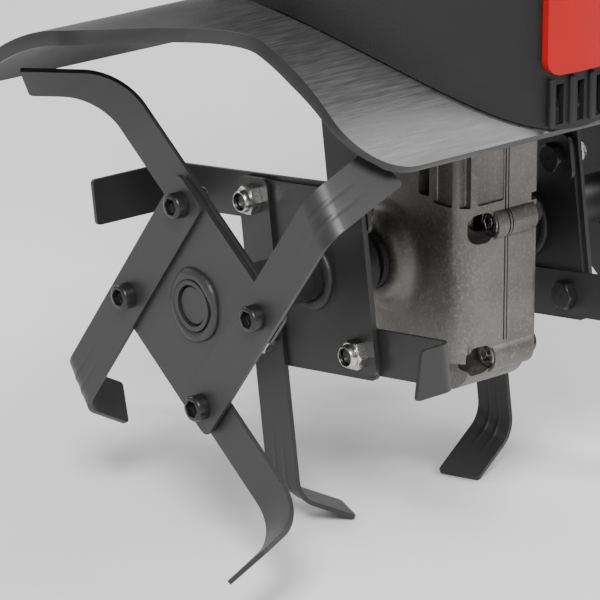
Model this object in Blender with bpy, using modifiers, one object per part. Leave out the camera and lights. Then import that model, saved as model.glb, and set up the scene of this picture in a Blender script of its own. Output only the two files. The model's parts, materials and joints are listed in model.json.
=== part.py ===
"""Petrol mini tiller: two pairs of tine stars on a worm-driven axle, split
cast gearcase, fender, vertical-shaft engine, folding handlebar, drag stake.

Metres, +Z up, the machine's front faces -Y, the ground is Z = 0.
Lengths below are in millimetres about the tine axle and are turned into
metres by P() and the helpers.
"""
import math

import bmesh
import bpy
from mathutils import Matrix, Vector

for old in list(bpy.data.objects):
    bpy.data.objects.remove(old, do_unlink=True)

# ---------------------------------------------------------------- dimensions
AXLE_Y = -293.93            # axle position behind the box centre (mm)
AXLE_Z = 127.63            # axle height above the ground (mm)
BOLT_SQUARE = 66.0          # side of the square of star bolts
STAR_ANGLE = 53.6           # direction of the outer star's first side (deg)
OUTER_PLANE = 132.0         # |X| of the outer star plate's middle
INNER_PLANE = 65.0          # |X| of the inner star plate's middle
PLATE_T = 2.2               # star plate thickness
BLADE_T = 2.2               # tine blade thickness
BLADE_W = 21.8              # tine blade width
GAP = 0.3                   # between touching pieces
SHAFT_R = 9.5               # tine shaft radius
SEAM_X = 8.5                # gearcase parting plane
CASE_NEAR, CASE_FAR = -20.0, 27.8   # gearcase side faces (X)
FENDER_R = 135.5            # outer radius of the fender's arc
FENDER_T = 3.0
WORM_Y = -32.0              # vertical shaft, in front of the axle
HINGE = (300.0, 480.0)      # handle fold axis (Y, Z)
FOLD_X = 140.0              # lower handle tube centre at the fold


def P(x, y, z):
    return Vector((x, y + AXLE_Y, z + AXLE_Z)) * 0.001


def V(x, y, z):
    return Vector((x, y, z)) * 0.001


# --------------------------------------------------------------- collections
PARTS = bpy.data.collections.new("mini_tiller")
CUTS = bpy.data.collections.new("cutters")
bpy.context.scene.collection.children.link(PARTS)
bpy.context.scene.collection.children.link(CUTS)


def material(name, rgb, rough, metal=0.0):
    m = bpy.data.materials.new(name)
    m.use_nodes = True
    b = m.node_tree.nodes["Principled BSDF"]
    b.inputs["Base Color"].default_value = (*rgb, 1)
    b.inputs["Roughness"].default_value = rough
    b.inputs["Metallic"].default_value = metal
    return m


BLACK_PAINT = material("black_paint", (0.022, 0.022, 0.023), 0.42)
CAST = material("cast_aluminium", (0.36, 0.34, 0.31), 0.5, 0.8)
STEEL = material("steel", (0.45, 0.45, 0.44), 0.32, 1.0)
ZINC = material("zinc", (0.62, 0.62, 0.6), 0.28, 1.0)
BLACK_PLASTIC = material("black_plastic", (0.018, 0.018, 0.019), 0.45)
RED = material("red_plastic", (0.52, 0.022, 0.026), 0.32)
RUBBER = material("rubber", (0.014, 0.014, 0.014), 0.8)
BRONZE = material("bronze", (0.55, 0.33, 0.12), 0.35, 1.0)
TANK = material("tank", (0.45, 0.45, 0.4), 0.4)


# ------------------------------------------------------------------- helpers
def put(name, mesh, mat=None, cutter=False):
    o = bpy.data.objects.new(name, mesh)
    if cutter:
        CUTS.objects.link(o)
        o.hide_render = True
        o.display_type = "WIRE"
    else:
        PARTS.objects.link(o)
        mesh.materials.append(mat)
    return o


def box(name, lo, hi, mat=None, bevel=0.0, segs=2, cutter=False):
    """Box between two corners in mm about the axle, edges rounded."""
    bm = bmesh.new()
    bmesh.ops.create_cube(bm, size=1.0)
    size = [(b - a) * 0.001 for a, b in zip(lo, hi)]
    bmesh.ops.scale(bm, vec=size, verts=bm.verts)
    me = bpy.data.meshes.new(name)
    bm.to_mesh(me)
    bm.free()
    o = put(name, me, mat, cutter)
    o.location = P(*[(a + b) / 2 for a, b in zip(lo, hi)])
    if bevel:
        m = o.modifiers.new("edges", "BEVEL")
        m.width = bevel * 0.001
        m.segments = segs
    return o


AIM = {"X": Matrix.Rotation(math.pi / 2, 4, "Y"),
       "Y": Matrix.Rotation(-math.pi / 2, 4, "X"), "Z": Matrix()}


def rod(name, centre, r, length, axis="X", mat=None, sides=24, cutter=False,
        r2=None, turn=0.0):
    """Cylinder or cone about an axis, centre in mm about the axle."""
    bm = bmesh.new()
    bmesh.ops.create_cone(bm, cap_ends=True, segments=sides, radius1=r * 0.001,
                          radius2=(r if r2 is None else r2) * 0.001,
                          depth=length * 0.001)
    me = bpy.data.meshes.new(name)
    bm.to_mesh(me)
    bm.free()
    me.shade_smooth()
    me.set_sharp_from_angle(angle=0.6)
    o = put(name, me, mat, cutter)
    base = AIM[axis] if isinstance(axis, str) else axis
    o.matrix_world = (Matrix.Translation(P(*centre)) @ base
                      @ Matrix.Rotation(turn, 4, "Z"))
    return o


def turned(name, profile, mat, centre=(0, 0, 0), axis="Z", steps=28,
           cutter=False, closed=True):
    """Turned piece: profile of (radius, height) down the outer side."""
    me = bpy.data.meshes.new(name)
    pts = [(r * 0.001, 0, h * 0.001) for r, h in profile]
    n = len(pts)
    edges = [(i, i + 1) for i in range(n - 1)] + ([(n - 1, 0)] if closed else [])
    me.from_pydata(pts, edges, [])
    o = put(name, me, mat, cutter)
    s = o.modifiers.new("turn", "SCREW")
    s.steps = s.render_steps = steps
    s.use_merge_vertices = True
    s.merge_threshold = 0.00001
    s.use_smooth_shade = True
    base = AIM[axis] if isinstance(axis, str) else axis
    o.matrix_world = Matrix.Translation(P(*centre)) @ base
    return o


def ring(name, ro, ri, h0, h1, mat=None, centre=(0, 0, 0), axis="Z", steps=28,
         cutter=False):
    return turned(name, [(ro, h1), (ro, h0), (ri, h0), (ri, h1)], mat, centre,
                  axis, steps, cutter)


def cut(o, c, op="DIFFERENCE"):
    m = o.modifiers.new(c.name, "BOOLEAN")
    m.operation = op
    m.object = c
    m.solver = "EXACT"
    return o


def join(o, c):
    return cut(o, c, "UNION")


def arc_step(s, e, f):
    """The vector a fraction f of the way round from s to e."""
    k = s.angle(e)
    if k < 1e-4:
        return s.copy()
    return (s * math.sin((1 - f) * k) + e * math.sin(f * k)) / math.sin(k)


def fillet_path(points, radius, n=4):
    """Straight runs joined by arcs of the given radius."""
    pts = [Vector(p) for p in points]
    out = [pts[0]]
    for a, b, c in zip(pts, pts[1:], pts[2:]):
        u, w = (a - b).normalized(), (c - b).normalized()
        half = u.angle(w) / 2
        t = radius / math.tan(half)
        t = min(t, 0.45 * (a - b).length, 0.45 * (c - b).length)
        r = t * math.tan(half)
        mid = b + (u + w).normalized() * (r / math.sin(half))
        s = b + u * t - mid
        e = b + w * t - mid
        for i in range(n + 1):
            out.append(mid + arc_step(s, e, i / n))
    out.append(pts[-1])
    return out


def tube(name, points, r, mat, res=2, cutter=False):
    """Tube along points (mm about the axle) as a closed mesh."""
    cu = bpy.data.curves.new(name, "CURVE")
    cu.dimensions = "3D"
    sp = cu.splines.new("POLY")
    sp.points.add(len(points) - 1)
    for q, p in zip(sp.points, points):
        q.co = (*P(*p), 1)
    cu.bevel_depth = r * 0.001
    cu.bevel_resolution = res
    cu.use_fill_caps = True
    tmp = bpy.data.objects.new(name + "_curve", cu)
    PARTS.objects.link(tmp)
    bpy.context.view_layer.update()
    deps = bpy.context.evaluated_depsgraph_get()
    me = bpy.data.meshes.new_from_object(tmp.evaluated_get(deps))
    world = tmp.matrix_world.copy()
    bpy.data.objects.remove(tmp, do_unlink=True)
    bm = bmesh.new()
    bm.from_mesh(me)
    bmesh.ops.remove_doubles(bm, verts=bm.verts, dist=0.00001)
    bmesh.ops.recalc_face_normals(bm, faces=bm.faces)
    bm.to_mesh(me)
    bm.free()
    me.materials.clear()
    o = put(name, me, mat, cutter)
    o.matrix_world = world
    return o


def hollow(o, points, r):
    """Bore a tube from end to end along its own path."""
    pts = [Vector(p) for p in points]
    first = pts[0] + (pts[0] - pts[1]).normalized() * 6
    last = pts[-1] + (pts[-1] - pts[-2]).normalized() * 6
    run = [tuple(first)] + [tuple(p) for p in pts[1:-1]] + [tuple(last)]
    cut(o, tube(f"{o.name}_bore{len(o.modifiers)}", run, r, None, 2, True))


def outline(name, pts, thick, mat, matrix, cutter=False):
    """Flat outline (mm) of a given thickness, placed by a matrix."""
    cu = bpy.data.curves.new(name, "CURVE")
    cu.dimensions = "2D"
    cu.fill_mode = "BOTH"
    cu.extrude = thick * 0.0005
    sp = cu.splines.new("POLY")
    sp.points.add(len(pts) - 1)
    for q, p in zip(sp.points, pts):
        q.co = (p[0] * 0.001, p[1] * 0.001, 0, 1)
    sp.use_cyclic_u = True
    tmp = bpy.data.objects.new(name + "_curve", cu)
    PARTS.objects.link(tmp)
    bpy.context.view_layer.update()
    deps = bpy.context.evaluated_depsgraph_get()
    me = bpy.data.meshes.new_from_object(tmp.evaluated_get(deps))
    bpy.data.objects.remove(tmp, do_unlink=True)
    bm = bmesh.new()
    bm.from_mesh(me)
    bmesh.ops.remove_doubles(bm, verts=bm.verts, dist=0.00001)
    bmesh.ops.recalc_face_normals(bm, faces=bm.faces)
    bm.to_mesh(me)
    bm.free()
    me.materials.clear()
    o = put(name, me, mat, cutter)
    o.matrix_world = matrix
    return o


def rounded(points, radius, n=4):
    """Closed 2D outline with its corners rounded."""
    pts = [Vector((*p, 0)) for p in points]
    out = []
    for i, b in enumerate(pts):
        a, c = pts[i - 1], pts[(i + 1) % len(pts)]
        r = radius[i] if isinstance(radius, (list, tuple)) else radius
        if not r:
            out.append((b.x, b.y))
            continue
        u, w = (a - b).normalized(), (c - b).normalized()
        half = u.angle(w) / 2
        t = r / math.tan(half)
        mid = b + (u + w).normalized() * (r / math.sin(half))
        s, e = b + u * t - mid, b + w * t - mid
        for k in range(n + 1):
            q = mid + arc_step(s, e, k / n)
            out.append((q.x, q.y))
    return out


def side_matrix(x):
    """Outline plane across the machine: local x forward (-Y), local y up."""
    m = Matrix(((0, 0, -1, 0), (-1, 0, 0, 0), (0, 1, 0, 0), (0, 0, 0, 1)))
    return Matrix.Translation(P(x, 0, 0)) @ m


# ---------------------------------------------------------------- tine stars
# A star: a square plate with a hub, four bolts, and four strip blades, two
# behind the plate bent outward and two in front of it bent inward.
def star_axes(turn):
    a = math.radians(STAR_ANGLE + turn)
    return (Vector((math.cos(a), math.sin(a))),
            Vector((math.sin(a), -math.cos(a))))


def blade_point(t, w, b):
    """Flat strip coordinates to (along, across, out) after the bend."""
    s = math.radians(b["skew"])
    n, f = (math.cos(s), -math.sin(s)), (math.sin(s), math.cos(s))
    dt = t - b["start"]
    d, q = dt * n[0] + w * n[1], dt * f[0] + w * f[1]
    if d <= 0:
        return t, w, 0.0
    R, phi = b["radius"], math.radians(b["bend"])
    if d < R * phi:
        a, o = R * math.sin(d / R), R * (1 - math.cos(d / R))
    else:
        rest = d - R * phi
        a = R * math.sin(phi) + rest * math.cos(phi)
        o = R * (1 - math.cos(phi)) + rest * math.sin(phi)
    return b["start"] + n[0] * a + f[0] * q, n[1] * a + f[1] * q, o


OUT_WIDE = dict(start=84, radius=27, bend=70, skew=-12, tip=23, cut=5)
IN_BEND = dict(start=95, radius=13, bend=66, skew=-18, tip=29, cut=1)
IN_INNER = dict(start=98, radius=13, bend=66, skew=-18, tip=29, cut=1)
OUT_LONG = dict(start=92, radius=8, bend=88, skew=0, tip=39, cut=0)
OUT_SHORT = dict(start=84, radius=8, bend=88, skew=0, tip=14, cut=3)


def make_blade(name, side, plane, turn, which, b):
    """which 1, 4: behind the plate, bent outward; 2, 3: in front, inward."""
    e1, e2 = star_axes(turn)
    along, across = {1: (-e2, e1), 4: (e2, -e1), 2: (-e1, -e2), 3: (e1, e2)}[which]
    front = which in (2, 3)
    layer = plane + (1 if front else -1) * (PLATE_T / 2 + GAP + BLADE_T / 2)
    lean = -1 if front else 1
    w2 = BLADE_W / 2
    arc = b["radius"] * math.radians(b["bend"])
    s = math.tan(math.radians(b["skew"]))
    steps = 6 if b["radius"] > 12 else 4
    rows = [lambda w: -BOLT_SQUARE / 2 - 10.0]
    for i in range(steps + 1):
        rows.append(lambda w, i=i: b["start"] + w * s + arc * i / steps)
    rows.append(lambda w: b["start"] + arc + b["tip"] + (w / w2) * b["cut"])
    verts, faces = [], []
    for row in rows:
        for w in (-w2, w2):
            a, c, o = blade_point(row(w), w, b)
            p = along * a + across * (BOLT_SQUARE / 2 + c)
            x = side * (layer + lean * o)
            verts.append(P(x, -p.x, p.y))
    for i in range(len(rows) - 1):
        faces.append((2 * i, 2 * i + 1, 2 * i + 3, 2 * i + 2))
    me = bpy.data.meshes.new(name)
    me.from_pydata(verts, [], faces)
    o = put(name, me, BLACK_PAINT)
    sol = o.modifiers.new("sheet", "SOLIDIFY")
    sol.thickness = BLADE_T * 0.001
    sol.offset = 0
    sol.use_even_offset = True
    return o


def star_bolts(side, plane, turn):
    e1, e2 = star_axes(turn)
    h = BOLT_SQUARE / 2
    for i, (a, c) in enumerate(((1, -1), (1, 1), (-1, 1), (-1, -1))):
        p = e1 * (a * h) + e2 * (c * h)
        yield i, -p.x, p.y


def make_star(tag, side, plane, turn, hub, nut_len, nut_r):
    """Plate, hub tube, four bolts with their nuts, four blades."""
    e1, e2 = star_axes(turn)
    half = BOLT_SQUARE / 2
    corners = [e1 * a + e2 * c for a, c in
               ((half + 9, -half - 9), (half + 9, half + 9),
                (-half - 13, half + 9), (-half - 13, -half - 9))]
    pts = rounded([(p.x, p.y) for p in corners], 5, 3)
    plate = outline("star_" + tag, pts, PLATE_T, BLACK_PAINT,
                    side_matrix(side * plane))
    lo, hi = (plane - PLATE_T / 2 - 2 * GAP - BLADE_T,
              plane + PLATE_T / 2 + 2 * GAP + BLADE_T)
    for i, y, z in star_bolts(side, plane, turn):
        x0, x1 = lo - 5.5, hi + nut_len
        join(plate, rod(f"stud_{tag}_{i}", (side * (x0 + x1) / 2, y, z), 4.0,
                        x1 - x0 - 1, "X", sides=6, cutter=True))
        join(plate, rod(f"head_{tag}_{i}", (side * (lo - 2.75), y, z), 7.2, 5.5,
                        "X", sides=6, cutter=True))
        join(plate, rod(f"nut_{tag}_{i}", (side * (hi + nut_len / 2), y, z), nut_r,
                        nut_len, "X", sides=6, cutter=True))
    for k, (r, a, c) in enumerate(hub):
        join(plate, rod(f"hub_{tag}_{k}", (side * (a + c) / 2, 0, 0), r, c - a,
                        "X", sides=16, cutter=True))
    cut(plate, rod(f"bore_{tag}", (side * plane, 0, 0), SHAFT_R + GAP, 240,
                   "X", sides=16, cutter=True))
    return plate


RECIPE = {"outer": {1: OUT_WIDE, 2: IN_BEND, 3: IN_BEND, 4: OUT_WIDE},
          "inner": {1: OUT_LONG, 2: IN_INNER, 3: IN_INNER, 4: OUT_SHORT}}
for side, name in ((-1, "right"), (1, "left")):
    make_star(name + "_outer", side, OUTER_PLANE, 0,
              [(11.8, 73.0, 132.0), (17.0, 126.0, 133.6),
               (11.8, 132.0, 135.6)], 5.6, 6.2)
    make_star(name + "_inner", side, INNER_PLANE, 45,
              [(17.0, 38.0, 66.0), (11.8, 64.0, 72.6)], 8.6, 7.4)
    for where, plane, turn in (("outer", OUTER_PLANE, 0),
                               ("inner", INNER_PLANE, 45)):
        e1, e2 = star_axes(turn)
        holes = []
        for i, y, z in star_bolts(side, plane, turn):
            holes.append(rod(f"hole_{name}_{where}_{i}", (side * plane, y, z),
                             4.6, 30, "X", sides=6, cutter=True))
        for which, pair in ((1, (0, 1)), (2, (0, 3)), (3, (2, 1)), (4, (2, 3))):
            b = make_blade(f"blade_{name}_{where}_{which}", side, plane, turn,
                           which, RECIPE[where][which])
            for i in pair:
                cut(b, holes[i])

# --------------------------------------------------------- shaft, worm drive
turned("tine_shaft", [(0, 134.6), (8.3, 134.6), (SHAFT_R, 133.4),
                      (SHAFT_R, -133.4), (8.3, -134.6), (0, -134.6)],
       STEEL, axis="X", steps=16, closed=False)


def gear_outline(teeth, r_tip, r_root):
    out = []
    for i in range(teeth):
        a = 2 * math.pi * i / teeth
        p = 2 * math.pi / teeth
        for f, r in ((-0.30, r_root), (-0.14, r_tip), (0.14, r_tip), (0.30, r_root)):
            out.append((r * math.cos(a + f * p), r * math.sin(a + f * p)))
    return out


wheel = outline("worm_wheel", gear_outline(20, 22.2, 19.4), 13.0, BRONZE,
                side_matrix(0))
cut(wheel, rod("wheel_bore", (0, 0, 0), SHAFT_R + GAP, 40, "X", sides=20,
               cutter=True))

worm = [(0, 148), (6, 148), (6, 14)]
for i in range(4):
    z = 11 - i * 7
    worm += [(7.4, z + 1.6), (9.2, z + 0.8), (9.2, z - 0.8), (7.4, z - 1.6)]
worm += [(6, -16), (6, -30.2), (0, -30.2)]
turned("worm_shaft", worm, STEEL, (0, WORM_Y, 0), "Z", 12, closed=False)
ring("worm_bearing_lower", 11.2, 6.3, -30.4, -23, STEEL, (0, WORM_Y, 0), steps=20)
ring("worm_bearing_upper", 13.7, 6.3, 101, 110, STEEL, (0, WORM_Y, 0), steps=20)
turned("clutch_drum", [(27, 172), (27, 149), (6.3, 149), (6.3, 152), (24.5, 152),
                       (24.5, 172)], STEEL, (0, WORM_Y, 0), "Z", 20)
turned("crankshaft", [(0, 262), (6, 262), (6, 183), (7, 183), (7, 175),
                      (22.5, 170), (22.5, 156), (5, 155), (0, 155)],
       STEEL, (0, WORM_Y, 0), "Z", 20, closed=False)
turned("flywheel", [(58, 254), (58, 242), (50, 240), (14, 242), (6.3, 242),
                    (6.3, 256), (14, 256), (50, 250)],
       CAST, (0, WORM_Y, 0), "Z", 28)

# ------------------------------------------------------------------ gearcase
CASE_TOP = 136.0
CASE_FRONT = -53.0
BOLTS = ((-47.0, 22.7), (-44.5, -41.5))      # (Y, Z) of the two front bolts
RIM_X, FLOOR_X, SPOT_X = -8.0, 5.0, 23.6     # bolt pocket, its floor, nut face


def gearcase(name, s):
    """One half of the split casting, from the parting plane outward."""
    x0, x1 = ((CASE_NEAR, SEAM_X - 0.15) if s < 0 else (SEAM_X + 0.15, CASE_FAR))
    mid, wide = (x0 + x1) / 2, x1 - x0
    radii = [6, 0, 0, 3] if s < 0 else [0, 4, 3, 0]
    plan = rounded([(x0, CASE_FRONT), (x1, CASE_FRONT), (x1, 8), (x0, 8)], radii, 4)
    body = outline(name, plan, CASE_TOP + 42, CAST,
                   Matrix.Translation(P(0, 0, (CASE_TOP - 42) / 2)))
    join(body, rod(name + "_round", (mid, 0, 0), 33, wide, "X", sides=28,
                   cutter=True))
    join(body, rod(name + "_boss", (s * 27, 0, 0), 26, 14, "X", sides=28,
                   cutter=True))
    lug = (-14, x1) if s < 0 else (x0, 20)
    join(body, rod(name + "_lug", (sum(lug) / 2, -40, -40), 18, lug[1] - lug[0],
                   "X", sides=20, cutter=True))
    pad = (-12, x1) if s < 0 else (x0, 12)
    join(body, box(name + "_pad", (pad[0], 10, -56), (pad[1], 38, -22), cutter=True))
    ear = (RIM_X, x1) if s < 0 else (x0, SPOT_X)
    join(body, rod(name + "_ear", (sum(ear) / 2, *BOLTS[0]), 9.0, ear[1] - ear[0],
                   "X", sides=20, cutter=True))
    # hollow: wheel chamber, worm bore, bearing and seal seats
    cut(body, rod(name + "_chamber", (0, 0, 0), 25.5, 22, "X", sides=24, cutter=True))
    cut(body, rod(name + "_wormbore", (0, WORM_Y, 37), 11.6, 135.4, "Z", sides=20,
                  cutter=True))
    cut(body, rod(name + "_topseat", (0, WORM_Y, 119.7), 14.1, 38, "Z", sides=20,
                  cutter=True))
    cut(body, rod(name + "_axleseat", (s * 15, 0, 0), 17.6, 12, "X", sides=20,
                  cutter=True))
    cut(body, rod(name + "_axlebore", (s * 25, 0, 0), 10.8, 30, "X", sides=20,
                  cutter=True))
    cut(body, rod(name + "_sealseat", (s * 30, 0, 0), 14.6, 10, "X", sides=20,
                  cutter=True))
    for k, (y, z) in enumerate(BOLTS):
        cut(body, rod(f"{name}_bolthole{k}", (0, y, z), 3.3, 60, "X", sides=10,
                      cutter=True))
        if s < 0:
            cut(body, rod(f"{name}_sink{k}", (FLOOR_X - 20, y, z), 7.4, 40, "X",
                          sides=16, cutter=True))
        else:
            cut(body, rod(f"{name}_spot{k}", (SPOT_X + 15, y, z), 7.6, 30, "X",
                          sides=16, cutter=True))
    return body


gearcase("gearcase_right", -1)
gearcase("gearcase_left", 1)
for s, name in ((-1, "right"), (1, "left")):
    a, b = sorted((s * 11.4, s * 20.7))
    ring("axle_bearing_" + name, 17.3, 9.8, a, b, STEEL, axis="X", steps=24)
    a, b = sorted((s * 25.3, s * 33.2))
    ring("axle_seal_" + name, 14.3, 9.8, a, b, RUBBER, axis="X", steps=24)
for k, (y, z) in enumerate(BOLTS):
    b = rod("case_bolt_" + ("upper", "lower")[k], (16, y, z), 3.0, 31, "X", STEEL, 10)
    join(b, rod(f"case_head{k}", (2.2, y, z), 5.2, 4.8, "X", sides=12, cutter=True))
    join(b, rod(f"case_nut{k}", (27.2, y, z), 6.2, 6.6, "X", sides=6, cutter=True))

# -------------------------------------------------------------------- fender
# Arc about the axle, narrow in front and wide behind, with a rim turned down.
FRONT_A, REAR_A = math.radians(38.0), math.radians(138.0)


def fender_half(a):
    """Half width at arc angle a measured from the front."""
    f, r = math.radians(74.0), math.radians(101.0)
    t = min(max((a - f) / (r - f), 0.0), 1.0)
    t = t * t * (3 - 2 * t)
    return 124.5 + t * 63.5


def fender_rows():
    rows = []
    n = 14
    for i in range(n + 1):
        a = FRONT_A + (REAR_A - FRONT_A) * i / n
        rows.append((a, fender_half(a)))
    return rows


def make_fender():
    bm = bmesh.new()
    grid = []
    corner = 32.0
    for a, half in fender_rows():
        d = (a - FRONT_A) * FENDER_R
        w = half
        if d < corner:
            w = half - corner + math.sqrt(max(corner ** 2 - (corner - d) ** 2, 0.0))
        row = []
        for u in (-1.0, -0.5, 0.0, 0.5, 1.0):
            row.append(bm.verts.new(P(u * w, -FENDER_R * math.cos(a),
                                      FENDER_R * math.sin(a))))
        grid.append(row)
    for r0, r1 in zip(grid, grid[1:]):
        for i in range(4):
            bm.faces.new((r0[i], r0[i + 1], r1[i + 1], r1[i]))
    bmesh.ops.recalc_face_normals(bm, faces=bm.faces)
    outward = sum((f.normal.z for f in bm.faces))
    if outward < 0:
        bmesh.ops.reverse_faces(bm, faces=bm.faces)
    me = bpy.data.meshes.new("fender")
    bm.to_mesh(me)
    bm.free()
    o = put("fender", me, BLACK_PAINT)
    s = o.modifiers.new("sheet", "SOLIDIFY")
    s.thickness = FENDER_T * 0.001
    s.offset = -1
    s.use_even_offset = True
    cut(o, box("fender_hole", (CASE_NEAR - 0.5, CASE_FRONT - 0.5, 90),
               (CASE_FAR + 0.5, 8.5, 160), cutter=True))
    return o


make_fender()

# ------------------------------------------------------------- engine group
turned("clutch_housing", [(34, 180), (38, 180), (38, 136.4), (7.0, 136.4),
                          (7.0, 140.5), (34, 140.5)],
       CAST, (0, WORM_Y, 0), "Z", 24)

block = rod("engine_block", (0, WORM_Y, 209.5), 41, 58.4, "Z", CAST, 24)
join(block, box("barrel", (-26, WORM_Y, 184), (26, 62, 235), cutter=True))
for i in range(5):
    y = 16 + i * 10.5
    join(block, box(f"fin{i}", (-34, y, 182), (34, y + 4.0, 237.5), cutter=True))
cut(block, rod("block_bore", (0, WORM_Y, 210), 7.6, 100, "Z", sides=16, cutter=True))

shroud = ring("lower_shroud", 100, 97, 40, 214, BLACK_PLASTIC, (0, -8, 0), steps=40)
cut(shroud, rod("shroud_saddle", (0, 0, 0), FENDER_R + 0.5, 400, "X", sides=72,
                cutter=True))
cut(shroud, box("shroud_back", (-76, 30, 137), (76, 130, 230), cutter=True))
for i in range(3):
    x = -12 + i * 12
    cut(shroud, box(f"shroud_slot{i}", (x - 2.0, -130, 86), (x + 2.0, -90, 104.5),
                    cutter=True))


def cover_outline():
    """Plan of the top cover: round in front, square-shouldered behind."""
    out = []
    for i in range(17):
        a = math.pi + math.pi * i / 16
        out.append((102 * math.cos(a), -8 + 102 * math.sin(a)))
    out += [(102, 30), (86, 50), (-86, 50), (-102, 30)]
    return out


flat = Matrix.Translation(P(0, 0, 238))
cover = outline("top_cover", cover_outline(), 47, RED, flat)
bv = cover.modifiers.new("edges", "BEVEL")
bv.width = 0.014
bv.segments = 3
bv.limit_method = "ANGLE"
bv.angle_limit = math.radians(60)
cut(cover, box("cover_under", (-140, -140, 200), (140, 140, 216), cutter=True))
cut(cover, rod("cover_hollow", (0, -12, 224), 88, 64, "Z", sides=32, cutter=True))
cut(cover, box("cover_rearway", (-40, -10, 205), (40, 80, 239.5), cutter=True))
tongue = ring("tongue", 104, 100.4, 110, 232, None, (0, -8, 0), steps=96, cutter=True)
cut(tongue, box("tongue_keep", (-22, -150, 100), (22, -60, 240), cutter=True),
    "INTERSECT")
join(cover, tongue)
cut(cover, rod("cover_mouth", (0, WORM_Y, 262), 44, 30, "Z", sides=28, cutter=True))

start = turned("starter_housing", [(0, 284), (40, 284), (52, 279), (57, 262.3),
                                   (50, 262.3), (48, 272), (0, 272)],
               BLACK_PLASTIC, (0, WORM_Y, 0), "Z", 28, closed=False)

# pull handle of the recoil starter, on the right of the housing
PULL_AXIS = "X"
grip = box("starter_grip", (-84, WORM_Y - 22, 268), (-72, WORM_Y + 22, 280),
           BLACK_PLASTIC, 4.0, 2)
join(grip, rod("grip_neck", (-66, WORM_Y, 274), 4.2, 14, "X", sides=10, cutter=True))

tank = box("fuel_tank", (10, 64, 217), (82, 126, 274), TANK, 12, 3)
cut(tank, rod("tank_bore", (46, 95, 262), 13.5, 40, "Z", sides=20, cutter=True))
turned("fuel_cap", [(0, 287), (17, 287), (19, 284), (19, 274.4), (12.8, 274.4),
                    (12.8, 246), (0, 246)], BLACK_PLASTIC, (46, 95, 0), "Z", 24,
       closed=False)
box("air_filter_cover", (-82, 64, 217), (-10, 112, 268), BLACK_PLASTIC, 10, 3)
box("muffler", (-30, 67, 178), (40, 104, 214), STEEL, 8, 3)

# -------------------------------------------------------------------- handle
bracket = box("handle_bracket", (-62, 8, 142), (62, 134, 147.7), BLACK_PAINT, 1.2, 1)
for k, x in enumerate((-32, 32)):
    join(bracket, box(f"saddle{k}", (x - 9, 112, 146), (x + 9, 146, 178), cutter=True))
    cut(bracket, rod(f"saddle_bore{k}", (x, 129, 160), 11.4, 60, "X", sides=16,
                     cutter=True))
LOWER = [(0, 129, 160), (62, 129, 160), (96, 150, 200), (FOLD_X, 262, 409),
         (FOLD_X, 307, 493.2)]
half = fillet_path(LOWER, 34, 4)
whole = [(-p.x, p.y, p.z) for p in half[::-1]][:-1] + [(p.x, p.y, p.z) for p in half[1:]]
lower = tube("lower_handle", whole, 11.0, BLACK_PAINT, 2)
hollow(lower, whole, 9.0)

UPPER_X = FOLD_X + 23.6
UPPER = [(UPPER_X, 293, 466.9), (UPPER_X, 398, 663), (225, 520, 764.3), (225, 692, 790)]
uh = fillet_path(UPPER, 60, 5)
upper = tube("upper_handle", [tuple(p) for p in uh], 11.0, BLACK_PAINT, 2)
other = tube("upper_other", [(-p.x, p.y, p.z) for p in uh], 11.0, None, 2, True)
bar_y, bar_z = 374.0, 618.3
bar = rod("upper_bar", (0, bar_y, bar_z), 8.0, 2 * UPPER_X - 7, "X", sides=16, cutter=True,
          turn=0.1)
join(upper, bar)
join(upper, other)
hollow(upper, [tuple(p) for p in uh], 8.7)
hollow(upper, [(-p.x, p.y, p.z) for p in uh], 8.7)
for k, s in enumerate((-1, 1)):
    hole = rod(f"fold_hole{k}", (s * (FOLD_X + 12), *HINGE), 4.5, 90, "X", sides=12,
               cutter=True)
    cut(lower, hole)
    cut(upper, hole)

GRIP_DIR = (Vector(UPPER[3]) - Vector(UPPER[2])).normalized()
grip_aim = Vector((0, 0, 1)).rotation_difference(GRIP_DIR).to_matrix().to_4x4()
for s, name in ((-1, "right"), (1, "left")):
    end = Vector((s * 225, 692, 790))
    turned("grip_" + name, [(0, 6), (13, 6), (15.5, 3), (15, -60), (15.5, -112),
                            (17.5, -116), (17.5, -120), (11.3, -120), (11.3, 0.3),
                            (0, 0.3)],
           RUBBER, tuple(end), grip_aim, 20, closed=False)
    knob = turned("fold_knob_" + name,
                  [(0, 50), (8, 50), (21, 46), (21, 36), (9, 30.3), (9, 26.3),
                   (4, 26.3), (4, -26), (0, -26)][::1],
                  BLACK_PLASTIC, (s * (FOLD_X + 9.3), *HINGE),
                  AIM["X"] if s > 0 else Matrix.Rotation(-math.pi / 2, 4, "Y"),
                  16, closed=False)

# throttle housing clamps the tube in front of the right grip
tb = Vector((-225, 692, 790)) - GRIP_DIR * 134
hous = rod("throttle_housing", tuple(tb), 17.5, 26, grip_aim, BLACK_PLASTIC, 20)
join(hous, box("throttle_body", (-225 - 11, tb.y - 13, tb.z - 32),
               (-225 + 11, tb.y + 12, tb.z - 6), cutter=True))
join(hous, box("switch_seat", (-225 - 10, tb.y - 12, tb.z + 8),
               (-225 + 10, tb.y + 11, tb.z + 22), cutter=True))
cut(hous, rod("throttle_clear", tuple(tb), 11.4, 80, grip_aim, sides=20, cutter=True))
cut(hous, box("lever_slot", (-225 - 5, tb.y - 6, tb.z - 45),
              (-225 + 5, tb.y + 30, tb.z - 17.5), cutter=True))
LEVER = (tb.y + 4.0, tb.z - 24.0)
lever = tube("throttle_lever",
             [(-225, LEVER[0] - 1, LEVER[1]), (-225, LEVER[0] + 16, LEVER[1] - 4),
              (-225, LEVER[0] + 42, LEVER[1] - 8), (-225, LEVER[0] + 70, LEVER[1] - 3)],
             4.2, BLACK_PLASTIC, 2)
switch = box("stop_switch", (-225 - 6, tb.y - 7, tb.z + 22.3),
             (-225 + 6, tb.y + 7, tb.z + 27), RED, 1.5, 2)

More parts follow.
